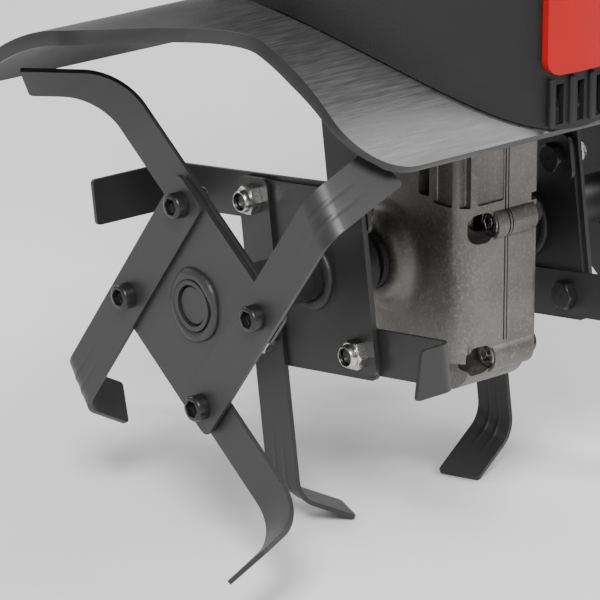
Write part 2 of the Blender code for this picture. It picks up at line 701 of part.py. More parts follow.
# ---------------------------------------------------------------- drag stake
STAKE_Y = 158.0
sb = box("stake_bracket", (-9, 42, -61), (9, 152, -51), BLACK_PAINT)
join(sb, box("stake_plate", (-11, 38.3, -58), (11, 43.3, -23), cutter=True))
join(sb, rod("stake_socket", (0, STAKE_Y, -58), 11.5, 36, "Z", sides=20, cutter=True))
join(sb, rod("stake_boss", (0, STAKE_Y + 12, -58), 6.5, 10, "Y", sides=12, cutter=True))
cut(sb, rod("stake_bore", (0, STAKE_Y, -58), 7.4, 60, "Z", sides=20, cutter=True))
cut(sb, rod("stake_tap", (0, STAKE_Y + 12, -58), 3.4, 30, "Y", sides=10, cutter=True))
turned("drag_stake", [(0, -22), (5.6, -22), (7, -24), (7, -116), (4.5, -AXLE_Z + 0.0),
                      (0, -AXLE_Z + 0.0)], STEEL, (0, STAKE_Y, 0), "Z", 20,
       closed=False)
turned("stake_knob", [(0, 34), (10, 34), (12, 31), (12, 22), (3, 19), (3, 8.4),
                      (0, 8.4)], BLACK_PLASTIC, (0, STAKE_Y, -58), "Y", 16,
       closed=False)

# ---------------------------------------------------- moving pieces' parents
bpy.context.view_layer.update()
GROUPS = {
    "rotor_axis": ((0, 0, 0), ["tine_shaft", "worm_wheel", "star_", "blade_"]),
    "worm_axis": ((0, WORM_Y, 60), ["worm_shaft", "clutch_drum"]),
    "crank_axis": ((0, WORM_Y, 220), ["crankshaft", "flywheel"]),
    "fold_axis": ((0, *HINGE), ["upper_handle", "grip_", "throttle_housing"]),
    "throttle_axis": ((-225, *LEVER), ["throttle_lever"]),
    "switch_axis": ((-225, tb.y, tb.z + 24), ["stop_switch"]),
    "stake_axis": ((0, STAKE_Y, -60), ["drag_stake"]),
}
for name, (centre, heads) in GROUPS.items():
    empty = bpy.data.objects.new(name, None)
    PARTS.objects.link(empty)
    empty.location = P(*centre)
    bpy.context.view_layer.update()
    for o in list(PARTS.objects):
        if o.type == "MESH" and any(o.name.startswith(h) for h in heads):
            world = o.matrix_world.copy()
            o.parent = empty
            o.matrix_world = world
bpy.context.view_layer.update()
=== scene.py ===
"""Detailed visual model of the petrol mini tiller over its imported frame.

Lengths are in millimetres about the tine axle until P() and the helpers turn
them into metres in the row's own frame.
"""

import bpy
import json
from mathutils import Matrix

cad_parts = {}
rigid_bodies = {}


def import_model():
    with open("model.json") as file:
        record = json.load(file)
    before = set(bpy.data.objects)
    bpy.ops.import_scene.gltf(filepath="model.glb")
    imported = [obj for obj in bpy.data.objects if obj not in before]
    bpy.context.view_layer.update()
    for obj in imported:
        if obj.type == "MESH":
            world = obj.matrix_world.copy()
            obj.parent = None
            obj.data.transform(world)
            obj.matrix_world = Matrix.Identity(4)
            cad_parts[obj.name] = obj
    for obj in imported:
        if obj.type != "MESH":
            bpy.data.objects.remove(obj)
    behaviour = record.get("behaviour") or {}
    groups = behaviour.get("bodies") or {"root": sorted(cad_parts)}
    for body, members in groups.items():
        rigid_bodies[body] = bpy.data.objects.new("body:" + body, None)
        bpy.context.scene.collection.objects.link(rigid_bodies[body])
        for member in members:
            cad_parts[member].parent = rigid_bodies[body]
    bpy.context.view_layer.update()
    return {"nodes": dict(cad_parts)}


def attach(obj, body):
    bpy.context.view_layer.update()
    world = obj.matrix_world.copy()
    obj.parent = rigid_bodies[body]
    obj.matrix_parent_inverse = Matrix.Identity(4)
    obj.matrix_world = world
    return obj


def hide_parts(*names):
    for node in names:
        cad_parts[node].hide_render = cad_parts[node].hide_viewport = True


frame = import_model()

import json
import math

import bmesh
import bpy
from mathutils import Matrix, Vector, noise

LOOK = bpy.data.collections.new("looks")
bpy.context.scene.collection.children.link(LOOK)

# ------------------------------------------------------------------ materials
class Nodes:
    """Small helper that wires a procedural material."""

    def __init__(self, name, rough, metal=0.0, coat=0.0, spec=0.5, ior=1.5):
        self.m = bpy.data.materials.new(name)
        self.m.use_nodes = True
        self.t = self.m.node_tree
        self.b = self.t.nodes["Principled BSDF"]
        self.b.inputs["Metallic"].default_value = metal
        self.b.inputs["Roughness"].default_value = rough
        self.b.inputs["Coat Weight"].default_value = coat
        self.b.inputs["Coat Roughness"].default_value = 0.12
        self.b.inputs["Specular IOR Level"].default_value = spec
        self.b.inputs["IOR"].default_value = ior
        self.co = self.new("ShaderNodeTexCoord").outputs["Object"]

    def new(self, kind, **values):
        n = self.t.nodes.new(kind)
        for k, v in values.items():
            if k.startswith("p_"):
                setattr(n, k[2:], v)
            else:
                n.inputs[k].default_value = v
        return n

    def link(self, a, b):
        self.t.links.new(a, b)

    def noise(self, scale, detail=4.0, rough=0.55, stretch=None):
        n = self.new("ShaderNodeTexNoise", Scale=scale, Detail=detail, Roughness=rough)
        src = self.co
        if stretch:
            mp = self.new("ShaderNodeMapping")
            mp.inputs["Scale"].default_value = stretch
            self.link(self.co, mp.inputs["Vector"])
            src = mp.outputs["Vector"]
        self.link(src, n.inputs["Vector"])
        return n.outputs["Fac"]

    def cells(self, scale, feature="F1"):
        n = self.new("ShaderNodeTexVoronoi", Scale=scale)
        n.feature = feature
        self.link(self.co, n.inputs["Vector"])
        return n.outputs["Distance"]

    def ramp(self, fac, stops):
        r = self.new("ShaderNodeValToRGB")
        e = r.color_ramp.elements
        while len(e) < len(stops):
            e.new(0.5)
        for el, (p, c) in zip(e, stops):
            el.position = p
            el.color = (*c, 1) if len(c) == 3 else c
        self.link(fac, r.inputs["Fac"])
        return r.outputs["Color"]

    def mix(self, fac, a, b):
        n = self.new("ShaderNodeMix")
        n.data_type = "RGBA"
        for sock, v in ((n.inputs[0], fac), (n.inputs[6], a), (n.inputs[7], b)):
            if isinstance(v, (int, float)):
                sock.default_value = v
            elif isinstance(v, tuple):
                sock.default_value = (*v, 1)
            else:
                self.link(v, sock)
        return n.outputs[2]

    def span(self, fac, lo, hi, a=0.0, b=1.0):
        n = self.new("ShaderNodeMapRange")
        n.inputs["From Min"].default_value = a
        n.inputs["From Max"].default_value = b
        n.inputs["To Min"].default_value = lo
        n.inputs["To Max"].default_value = hi
        self.link(fac, n.inputs["Value"])
        return n.outputs["Result"]

    def colour(self, s):
        self.link(s, self.b.inputs["Base Color"])

    def rough(self, s):
        self.link(s, self.b.inputs["Roughness"])

    def bump(self, height, strength, dist=0.001, under=None):
        n = self.new("ShaderNodeBump", Strength=strength, Distance=dist)
        self.link(height, n.inputs["Height"])
        if under is not None:
            self.link(under, n.inputs["Normal"])
        self.link(n.outputs["Normal"], self.b.inputs["Normal"])
        return n.outputs["Normal"]


def grey(v, tint=(1, 1, 1)):
    return (v * tint[0], v * tint[1], v * tint[2])


def black_paint(name="satin_black_paint", base=0.016, hi=0.03, rough=0.42):
    n = Nodes(name, rough, 0.0, 0.0, 0.45)
    cloud = n.noise(14, 5, 0.6)
    fine = n.noise(900, 3, 0.6)
    dust = n.noise(160, 6, 0.7)
    c = n.ramp(cloud, [(0.3, grey(base)), (0.72, grey(hi, (1, 0.99, 0.97)))])
    specks = n.ramp(dust, [(0.68, (0, 0, 0)), (0.8, (1, 1, 1))])
    c = n.mix(n.span(specks, 0, 0.3), c, (0.1, 0.095, 0.09))
    n.colour(c)
    n.rough(n.span(cloud, rough - 0.1, rough + 0.14, 0.25, 0.75))
    a = n.bump(fine, 0.16, 0.0002)
    n.bump(dust, 0.14, 0.0003, a)
    return n.m


def fender_paint():
    n = Nodes("worn_black_sheet", 0.4, 0.35, 0.0, 0.6)
    cloud = n.noise(7, 5, 0.6)
    brushed = n.noise(230, 5, 0.6, (0.22, 4.0, 4.0))
    fine = n.noise(1100, 3, 0.6)
    c = n.ramp(cloud, [(0.3, grey(0.045)), (0.7, grey(0.085, (1, 1, 1.01)))])
    c = n.mix(n.span(brushed, 0.0, 0.4, 0.4, 0.75), c, (0.2, 0.2, 0.205))
    n.colour(c)
    n.rough(n.span(brushed, 0.3, 0.5, 0.3, 0.7))
    a = n.bump(brushed, 0.16, 0.0003)
    n.bump(fine, 0.12, 0.0002, a)
    return n.m


def cast():
    n = Nodes("cast_aluminium", 0.46, 0.72, 0.0, 0.5)
    grain = n.noise(620, 4, 0.65)
    cloud = n.noise(22, 5, 0.6)
    pits = n.cells(420)
    c = n.ramp(cloud, [(0.3, (0.1, 0.095, 0.088)), (0.72, (0.19, 0.181, 0.17))])
    c = n.mix(n.span(pits, 0.25, 0.0, 0.0, 0.35), c, (0.07, 0.066, 0.06))
    c = n.mix(n.span(grain, 0.0, 0.45, 0.5, 0.78), c, (0.4, 0.385, 0.365))
    n.colour(c)
    n.rough(n.span(grain, 0.36, 0.58, 0.3, 0.7))
    a = n.bump(grain, 0.5, 0.0004)
    n.bump(cloud, 0.25, 0.002, a)
    return n.m


def metal(name, colour, rough, stretch=(1, 1, 1), dark=0.75):
    n = Nodes(name, rough, 1.0)
    lay = n.noise(260, 4, 0.6, stretch)
    cloud = n.noise(30, 4, 0.6)
    low = tuple(v * dark for v in colour)
    n.colour(n.ramp(cloud, [(0.28, low), (0.72, colour)]))
    n.rough(n.span(lay, rough * 0.75, rough * 1.35, 0.3, 0.7))
    n.bump(lay, 0.2, 0.0002)
    return n.m


def plastic(name, low, high, rough, grain=900, depth=0.25, coat=0.0, spec=0.3):
    n = Nodes(name, rough, 0.0, coat, spec)
    cloud = n.noise(9, 4, 0.55)
    fine = n.cells(grain)
    n.colour(n.ramp(cloud, [(0.3, low), (0.7, high)]))
    n.rough(n.span(n.noise(35, 5, 0.6), rough * 0.82, rough * 1.2, 0.3, 0.7))
    n.bump(fine, depth, 0.0003)
    return n.m


def rubber_mat(name="grip_rubber"):
    n = Nodes(name, 0.72, 0.0, 0.0, 0.35)
    cloud = n.noise(40, 5, 0.6)
    n.colour(n.ramp(cloud, [(0.3, grey(0.018)), (0.7, grey(0.036))]))
    n.rough(n.span(cloud, 0.62, 0.84, 0.3, 0.7))
    n.bump(n.cells(1500), 0.35, 0.0003)
    return n.m


PAINT = black_paint()
# dark tube paint for the handle, brackets and stake bracket; also used as painted shade on the fender's
# turned-down rim
TUBE_PAINT_AND_RIM_SHADE = black_paint("tube_black_paint", 0.012, 0.022, 0.34)
OXIDE = black_paint("black_oxide_steel", 0.008, 0.016, 0.28)
SHEET = fender_paint()
ALU = cast()
STEEL_M = metal("turned_steel", (0.62, 0.615, 0.6), 0.28, (1, 8, 8))
ZINC_M = metal("zinc_plate", (0.56, 0.555, 0.54), 0.27, (1, 1, 1), 0.7)
BRONZE_M = metal("wheel_bronze", (0.7, 0.47, 0.2), 0.3)
HOT = metal("heat_stained_steel", (0.4, 0.34, 0.29), 0.42, (1, 1, 1), 0.55)
BLACK_P = plastic("moulded_black_plastic", grey(0.009), grey(0.017), 0.5, 1100, 0.3)
RED_P = plastic("moulded_red_plastic", (0.36, 0.004, 0.005), (0.46, 0.008, 0.009), 0.42, 1500, 0.06, 0.0, 0.22)
TANK_P = plastic("natural_tank_plastic", (0.5, 0.5, 0.45), (0.62, 0.62, 0.57), 0.38, 700, 0.15)
RUB = rubber_mat()

STEEL_DARK = metal("dark_screw_steel", (0.3, 0.295, 0.285), 0.26, (1, 1, 1), 0.6)

# --------------------------------------------------------------------- camera
cam = bpy.data.cameras.new("photo_camera")
cam.lens = 272
cam.sensor_width = 36
cam.clip_start, cam.clip_end = 0.05, 30
cam_o = bpy.data.objects.new("photo_camera", cam)
bpy.context.scene.collection.objects.link(cam_o)

# ---------------------------------------------------------------- dimensions
AXLE_Y = -293.93            # axle position behind the box centre (mm)
AXLE_Z = 127.63            # axle height above the ground (mm)
BOLT_SQUARE = 66.0          # side of the square of star bolts
STAR_ANGLE = 53.6           # direction of the outer star's first side (deg)
OUTER_PLANE = 132.0         # |X| of the outer star plate's middle
INNER_PLANE = 65.0          # |X| of the inner star plate's middle
PLATE_T = 2.2               # star plate thickness
BLADE_T = 2.2               # tine blade thickness
BLADE_W = 21.8              # tine blade width
GAP = 0.3                   # between touching pieces
SHAFT_R = 9.5               # tine shaft radius
SEAM_X = 8.5                # gearcase parting plane
CASE_NEAR, CASE_FAR = -20.0, 27.8   # gearcase side faces (X)
FENDER_R = 135.5            # outer radius of the fender's arc
FENDER_T = 3.0
WORM_Y = -32.0              # vertical shaft, in front of the axle
HINGE = (300.0, 480.0)      # handle fold axis (Y, Z)
FOLD_X = 140.0              # lower handle tube centre at the fold


def P(x, y, z):
    return Vector((x, y + AXLE_Y, z + AXLE_Z)) * 0.001


def V(x, y, z):
    return Vector((x, y, z)) * 0.001


# ------------------------------------------------------------------- helpers
CUTTERS = []


def put(name, mesh, mat=None, cutter=False):
    o = bpy.data.objects.new(name, mesh)
    if cutter:
        LOOK.objects.link(o)
        CUTTERS.append(o.name)
    else:
        LOOK.objects.link(o)
        mesh.materials.append(mat)
    return o


def box(name, lo, hi, mat=None, bevel=0.0, segs=2, cutter=False):
    """Box between two corners in mm about the axle, edges rounded."""
    bm = bmesh.new()
    bmesh.ops.create_cube(bm, size=1.0)
    size = [(b - a) * 0.001 for a, b in zip(lo, hi)]
    bmesh.ops.scale(bm, vec=size, verts=bm.verts)
    me = bpy.data.meshes.new(name)
    bm.to_mesh(me)
    bm.free()
    o = put(name, me, mat, cutter)
    o.location = P(*[(a + b) / 2 for a, b in zip(lo, hi)])
    if bevel:
        m = o.modifiers.new("edges", "BEVEL")
        m.width = bevel * 0.001
        m.segments = segs
    return o


AIM = {"X": Matrix.Rotation(math.pi / 2, 4, "Y"),
       "Y": Matrix.Rotation(-math.pi / 2, 4, "X"), "Z": Matrix()}


def rod(name, centre, r, length, axis="X", mat=None, sides=24, cutter=False,
        r2=None, turn=0.0):
    """Cylinder or cone about an axis, centre in mm about the axle."""
    bm = bmesh.new()
    sides = sides if sides in (6, 8) else max(32, sides * 2)
    bmesh.ops.create_cone(bm, cap_ends=True, segments=sides, radius1=r * 0.001,
                          radius2=(r if r2 is None else r2) * 0.001,
                          depth=length * 0.001)
    me = bpy.data.meshes.new(name)
    bm.to_mesh(me)
    bm.free()
    me.shade_smooth()
    me.set_sharp_from_angle(angle=0.6)
    o = put(name, me, mat, cutter)
    base = AIM[axis] if isinstance(axis, str) else axis
    o.matrix_world = (Matrix.Translation(P(*centre)) @ base
                      @ Matrix.Rotation(turn, 4, "Z"))
    return o


def turned(name, profile, mat, centre=(0, 0, 0), axis="Z", steps=28,
           cutter=False, closed=True):
    """Turned piece: profile of (radius, height) down the outer side."""
    me = bpy.data.meshes.new(name)
    pts = [(r * 0.001, 0, h * 0.001) for r, h in profile]
    n = len(pts)
    edges = [(i, i + 1) for i in range(n - 1)] + ([(n - 1, 0)] if closed else [])
    me.from_pydata(pts, edges, [])
    o = put(name, me, mat, cutter)
    s = o.modifiers.new("turn", "SCREW")
    s.steps = s.render_steps = max(40, steps * 2)
    s.use_merge_vertices = True
    s.merge_threshold = 0.00001
    s.use_smooth_shade = True
    base = AIM[axis] if isinstance(axis, str) else axis
    o.matrix_world = Matrix.Translation(P(*centre)) @ base
    return o


def ring(name, ro, ri, h0, h1, mat=None, centre=(0, 0, 0), axis="Z", steps=28,
         cutter=False):
    return turned(name, [(ro, h1), (ro, h0), (ri, h0), (ri, h1)], mat, centre,
                  axis, steps, cutter)


def cut(o, c, op="DIFFERENCE"):
    m = o.modifiers.new(c.name, "BOOLEAN")
    m.operation = op
    m.object = c
    m.solver = "EXACT"
    return o


def join(o, c):
    return cut(o, c, "UNION")


def arc_step(s, e, f):
    """The vector a fraction f of the way round from s to e."""
    k = s.angle(e)
    if k < 1e-4:
        return s.copy()
    return (s * math.sin((1 - f) * k) + e * math.sin(f * k)) / math.sin(k)


def fillet_path(points, radius, n=14):
    """Straight runs joined by arcs of the given radius."""
    pts = [Vector(p) for p in points]
    out = [pts[0]]
    for a, b, c in zip(pts, pts[1:], pts[2:]):
        u, w = (a - b).normalized(), (c - b).normalized()
        half = u.angle(w) / 2
        t = radius / math.tan(half)
        t = min(t, 0.45 * (a - b).length, 0.45 * (c - b).length)
        r = t * math.tan(half)
        mid = b + (u + w).normalized() * (r / math.sin(half))
        s = b + u * t - mid
        e = b + w * t - mid
        for i in range(n + 1):
            out.append(mid + arc_step(s, e, i / n))
    out.append(pts[-1])
    return out


def tube(name, points, r, mat, res=2, cutter=False):
    """Tube along points (mm about the axle) as a closed mesh."""
    cu = bpy.data.curves.new(name, "CURVE")
    cu.dimensions = "3D"
    sp = cu.splines.new("POLY")
    sp.points.add(len(points) - 1)
    for q, p in zip(sp.points, points):
        q.co = (*P(*p), 1)
    cu.bevel_depth = r * 0.001
    cu.bevel_resolution = 6
    cu.use_fill_caps = True
    tmp = bpy.data.objects.new(name + "_curve", cu)
    LOOK.objects.link(tmp)
    bpy.context.view_layer.update()
    deps = bpy.context.evaluated_depsgraph_get()
    me = bpy.data.meshes.new_from_object(tmp.evaluated_get(deps))
    world = tmp.matrix_world.copy()
    bpy.data.objects.remove(tmp, do_unlink=True)
    bm = bmesh.new()
    bm.from_mesh(me)
    bmesh.ops.remove_doubles(bm, verts=bm.verts, dist=0.00001)
    bmesh.ops.recalc_face_normals(bm, faces=bm.faces)
    bm.to_mesh(me)
    bm.free()
    me.materials.clear()
    o = put(name, me, mat, cutter)
    o.matrix_world = world
    return o


def hollow(o, points, r):
    """Bore a tube from end to end along its own path."""
    pts = [Vector(p) for p in points]
    first = pts[0] + (pts[0] - pts[1]).normalized() * 6
    last = pts[-1] + (pts[-1] - pts[-2]).normalized() * 6
    run = [tuple(first)] + [tuple(p) for p in pts[1:-1]] + [tuple(last)]
    cut(o, tube(f"{o.name}_bore{len(o.modifiers)}", run, r, None, 2, True))


def outline(name, pts, thick, mat, matrix, cutter=False):
    """Flat outline (mm) of a given thickness, placed by a matrix."""
    cu = bpy.data.curves.new(name, "CURVE")
    cu.dimensions = "2D"
    cu.fill_mode = "BOTH"
    cu.extrude = thick * 0.0005
    sp = cu.splines.new("POLY")
    sp.points.add(len(pts) - 1)
    for q, p in zip(sp.points, pts):
        q.co = (p[0] * 0.001, p[1] * 0.001, 0, 1)
    sp.use_cyclic_u = True
    tmp = bpy.data.objects.new(name + "_curve", cu)
    LOOK.objects.link(tmp)
    bpy.context.view_layer.update()
    deps = bpy.context.evaluated_depsgraph_get()
    me = bpy.data.meshes.new_from_object(tmp.evaluated_get(deps))
    bpy.data.objects.remove(tmp, do_unlink=True)
    bm = bmesh.new()
    bm.from_mesh(me)
    bmesh.ops.remove_doubles(bm, verts=bm.verts, dist=0.00001)
    bmesh.ops.recalc_face_normals(bm, faces=bm.faces)
    bm.to_mesh(me)
    bm.free()
    me.materials.clear()
    o = put(name, me, mat, cutter)
    o.matrix_world = matrix
    return o


def rounded(points, radius, n=8):
    """Closed 2D outline with its corners rounded."""
    pts = [Vector((*p, 0)) for p in points]
    out = []
    for i, b in enumerate(pts):
        a, c = pts[i - 1], pts[(i + 1) % len(pts)]
        r = radius[i] if isinstance(radius, (list, tuple)) else radius
        if not r:
            out.append((b.x, b.y))
            continue
        u, w = (a - b).normalized(), (c - b).normalized()
        half = u.angle(w) / 2
        t = r / math.tan(half)
        mid = b + (u + w).normalized() * (r / math.sin(half))
        s, e = b + u * t - mid, b + w * t - mid
        for k in range(n + 1):
            q = mid + arc_step(s, e, k / n)
            out.append((q.x, q.y))
    return out


def side_matrix(x):
    """Outline plane across the machine: local x forward (-Y), local y up."""
    m = Matrix(((0, 0, -1, 0), (-1, 0, 0, 0), (0, 1, 0, 0), (0, 0, 0, 1)))
    return Matrix.Translation(P(x, 0, 0)) @ m


# ---------------------------------------------------------------- tine stars
def star_axes(turn):
    a = math.radians(STAR_ANGLE + turn)
    return (Vector((math.cos(a), math.sin(a))),
            Vector((math.sin(a), -math.cos(a))))


def blade_point(t, w, b):
    """Flat strip coordinates to (along, across, out) after the bend."""
    s = math.radians(b["skew"])
    n, f = (math.cos(s), -math.sin(s)), (math.sin(s), math.cos(s))
    dt = t - b["start"]
    d, q = dt * n[0] + w * n[1], dt * f[0] + w * f[1]
    if d <= 0:
        return t, w, 0.0
    R, phi = b["radius"], math.radians(b["bend"])
    if d < R * phi:
        a, o = R * math.sin(d / R), R * (1 - math.cos(d / R))
    else:
        rest = d - R * phi
        a = R * math.sin(phi) + rest * math.cos(phi)
        o = R * (1 - math.cos(phi)) + rest * math.sin(phi)
    return b["start"] + n[0] * a + f[0] * q, n[1] * a + f[1] * q, o


OUT_WIDE = dict(start=84, radius=27, bend=70, skew=-12, tip=23, cut=5)
IN_BEND = dict(start=95, radius=13, bend=66, skew=-18, tip=29, cut=1)
IN_INNER = dict(start=98, radius=13, bend=66, skew=-18, tip=29, cut=1)
OUT_LONG = dict(start=92, radius=8, bend=88, skew=0, tip=39, cut=0)
OUT_SHORT = dict(start=84, radius=8, bend=88, skew=0, tip=14, cut=3)


def star_bolts(side, plane, turn):
    e1, e2 = star_axes(turn)
    h = BOLT_SQUARE / 2
    for i, (a, c) in enumerate(((1, -1), (1, 1), (-1, 1), (-1, -1))):
        p = e1 * (a * h) + e2 * (c * h)
        yield i, -p.x, p.y


TARGET = P(-58.5, 15.8, -18.4)
AIM_CAM = Vector((-0.608, -0.724, 0.326)).normalized()
cam_o.location = TARGET + AIM_CAM * 2.1
cam_o.rotation_euler = (-AIM_CAM).to_track_quat("-Z", "Y").to_euler()
bpy.context.scene.camera = cam_o

BLACK_PAINT = STEEL = CAST = None
PIECES = []


def finish_piece(o, mat, body, nodes=(), bevel=0.35, segs=2, angle=38,
                 smooth=35):
    """Freeze the modifiers, drop the cutters, soften edges, set the look."""
    bpy.context.view_layer.update()
    deps = bpy.context.evaluated_depsgraph_get()
    ev = o.evaluated_get(deps)
    me = bpy.data.meshes.new_from_object(ev)
    world = o.matrix_world.copy()
    used = [m.object for m in o.modifiers if m.type == "BOOLEAN"]
    o.modifiers.clear()
    o.data = me
    o.matrix_world = world
    for c in used:
        if c is not None and c.name in bpy.data.objects:
            inner = [m.object for m in c.modifiers if m.type == "BOOLEAN"]
            for d in inner:
                if d is not None and d.name in bpy.data.objects:
                    bpy.data.objects.remove(d, do_unlink=True)
            bpy.data.objects.remove(c, do_unlink=True)
    bm = bmesh.new()
    bm.from_mesh(me)
    bmesh.ops.remove_doubles(bm, verts=bm.verts, dist=0.00002)
    bmesh.ops.dissolve_degenerate(bm, dist=0.00002, edges=bm.edges)
    bm.to_mesh(me)
    bm.free()
    me.materials.clear()
    me.materials.append(mat)
    for p in me.polygons:
        p.material_index = 0
    if bevel:
        b = o.modifiers.new("edge", "BEVEL")
        b.width = bevel * 0.001
        b.segments = segs
        b.limit_method = "ANGLE"
        b.angle_limit = math.radians(angle)
        b.harden_normals = True
        b.use_clamp_overlap = True
    me.shade_smooth()
    me.set_sharp_from_angle(angle=math.radians(smooth))
    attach(o, body)
    if nodes:
        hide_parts(*nodes)
    PIECES.append(o.name)
    return o


# ------------------------------------------------------------- tines and hubs
def corner_scale(d, r, w2):
    """Half width near a strip's end, its corners rounded by r."""
    if d >= r:
        return w2
    return w2 - r + math.sqrt(max(r * r - (r - d) ** 2, 0.0))


def blade(name, side, plane, turn, which, b, body="rotor"):
    e1, e2 = star_axes(turn)
    along, across = {1: (-e2, e1), 4: (e2, -e1), 2: (-e1, -e2), 3: (e1, e2)}[which]
    front = which in (2, 3)
    layer = plane + (1 if front else -1) * (PLATE_T / 2 + 0.06 + BLADE_T / 2)
    lean = -1 if front else 1
    w2 = BLADE_W / 2
    arc = b["radius"] * math.radians(b["bend"])
    s = math.tan(math.radians(b["skew"]))
    t0 = -BOLT_SQUARE / 2 - 10.0
    fr = [0, 0.4, 1.0, 1.8, 2.8, 4.0]
    rows = [("flat", t0 + v, corner_scale(v, 4.0, w2)) for v in fr]
    k = 10
    rows += [("lin", i / k, w2) for i in range(1, k + 1)]
    n = 22
    rows += [("arc", i / n, w2) for i in range(1, n + 1)]
    rows += [("tip", i / 6, w2) for i in range(1, 6)]
    rows += [("end", v, corner_scale(v, 1.9, w2)) for v in (3.5, 1.9, 1.3, 0.8, 0.35, 0.0)]
    cols = 33
    verts, faces = [], []
    for kind, f, half in rows:
        for j in range(cols):
            q = -1 + 2 * j / (cols - 1)
            w = half * q
            start = b["start"] + w * s
            if kind == "flat":
                t = f
            elif kind == "lin":
                t = t0 + 4.0 + (start - t0 - 4.0) * f
            elif kind == "arc":
                t = start + arc * f
            elif kind == "tip":
                end = start + arc + b["tip"] + (w / w2) * b["cut"] - w * s * 1.0
                t = start + arc + (end - 3.5 - start - arc) * f
            else:
                end = start + arc + b["tip"] + (w / w2) * b["cut"] - w * s * 1.0
                t = end - f
            a, c, o = blade_point(t, w, b)
            # pressed stiffening ribs across the tight bends
            rib = 0.0
            if b.get("ribs"):
                d = t - start
                lenf = min(max((d + 9) / 7, 0), 1) * min(max((arc + 12 - d) / 7, 0), 1)
                for rc in (-3.2, 3.2):
                    g = abs(w - rc) / 1.3
                    if g < 1:
                        rib = max(rib, (1 - g * g) ** 2 * lenf)
            p = along * a + across * (BOLT_SQUARE / 2 + c)
            x = side * (layer + lean * o + 0.38 * rib * (1 if lean < 0 else -1))
            verts.append(P(x, -p.x, p.y))
    for i in range(len(rows) - 1):
        for j in range(cols - 1):
            a = i * cols + j
            faces.append((a, a + 1, a + cols + 1, a + cols))
    me = bpy.data.meshes.new("v_" + name)
    me.from_pydata(verts, [], faces)
    o = put("v_" + name, me, PAINT)
    m = o.modifiers.new("sheet", "SOLIDIFY")
    m.thickness = BLADE_T * 0.001
    m.offset = 0
    m.use_even_offset = True
    return finish_piece(o, PAINT, body, (name,), 0.45, 3, 50, 40)


RIBBED = {id(IN_BEND), id(IN_INNER)}
IN_BEND["ribs"] = IN_INNER["ribs"] = 1
RECIPE = {"outer": {1: OUT_WIDE, 2: IN_BEND, 3: IN_BEND, 4: OUT_WIDE},
          "inner": {1: OUT_LONG, 2: IN_INNER, 3: IN_INNER, 4: OUT_SHORT}}


def weld(name, x, r, thick, body, mat, seed=0.0, ripple=40):
    """Bead of weld round a tube: a lumpy ring."""
    major, minor = 96, 10
    verts, faces = [], []
    for i in range(major):
        a = 2 * math.pi * i / major
        lump = (1 + 0.04 * math.sin(a * ripple + seed) + 0.16 * math.sin(a * 2 + seed)
                + 0.1 * math.sin(a * 5 + seed * 2))
        for j in range(minor):
            c = 2 * math.pi * j / minor
            rr = r + thick * lump * math.cos(c)
            verts.append(P(x + thick * 0.75 * lump * math.sin(c), -rr * math.cos(a),
                           rr * math.sin(a)))
    for i in range(major):
        for j in range(minor):
            a, b = i * minor + j, i * minor + (j + 1) % minor
            c, d = ((i + 1) % major) * minor + (j + 1) % minor, ((i + 1) % major) * minor + j
            faces.append((a, b, c, d))
    me = bpy.data.meshes.new(name)
    me.from_pydata(verts, [], faces)
    o = put(name, me, mat)
    bm = bmesh.new()
    bm.from_mesh(me)
    bmesh.ops.recalc_face_normals(bm, faces=bm.faces)
    bm.to_mesh(me)
    bm.free()
    return finish_piece(o, mat, body, (), 0, 2, 60, 60)


def cap_screw(name, x, y, z, side, r, length, body, mat, af=6.0):
    """Socket head: cylinder with a rounded top edge and a hexagon recess."""
    o = turned(name, [(0, length), (r - 1.3, length), (r - 0.5, length - 0.35),
                      (r, length - 1.1), (r, 0.0), (0, 0.0)], mat, (x, y, z),
               AIM["X"] if side > 0 else Matrix.Rotation(-math.pi / 2, 4, "Y"),
               30, closed=False)
    cut(o, rod(name + "_hex", (x + side * (length + 0.5), y, z), af / 2 / 0.866, 8.0, "X",
               sides=6, cutter=True))
    return finish_piece(o, mat, body, (), 0.2, 2, 40)


def hex_nut(name, x, y, z, side, af, length, body, mat, bore=4.0, collar=0.0):
    """Hexagon nut with chamfered corners, optionally with a lock collar."""
    r = af / 2 / 0.866
    o = rod(name, (x + side * length / 2, y, z), r, length, "X", mat, 6)
    cone = turned(name + "_cone", [(0, length + 0.01), (af / 2 * 0.97, length + 0.01),
                                   (r + 0.3, length - 1.5), (r + 0.3, -0.1),
                                   (0, -0.1)], None, (x, y, z),
                  AIM["X"] if side > 0 else Matrix.Rotation(-math.pi / 2, 4, "Y"),
                  30, cutter=True, closed=False)
    cut(o, cone, "INTERSECT")
    if collar:
        join(o, turned(name + "_collar", [(0, length + collar), (af / 2 * 0.74, length + collar),
                                          (af / 2 * 0.84, length + collar - 0.8),
                                          (af / 2 * 0.88, length - 0.4), (0, length - 0.4)],
                       None, (x, y, z),
                       AIM["X"] if side > 0 else Matrix.Rotation(-math.pi / 2, 4, "Y"),
                       30, cutter=True, closed=False))
    cut(o, rod(name + "_bore", (x + side * (length + collar), y, z), bore,
               13.0 if collar else 3.6, "X", sides=24, cutter=True))
    return finish_piece(o, mat, body, (), 0.25, 2, 35)


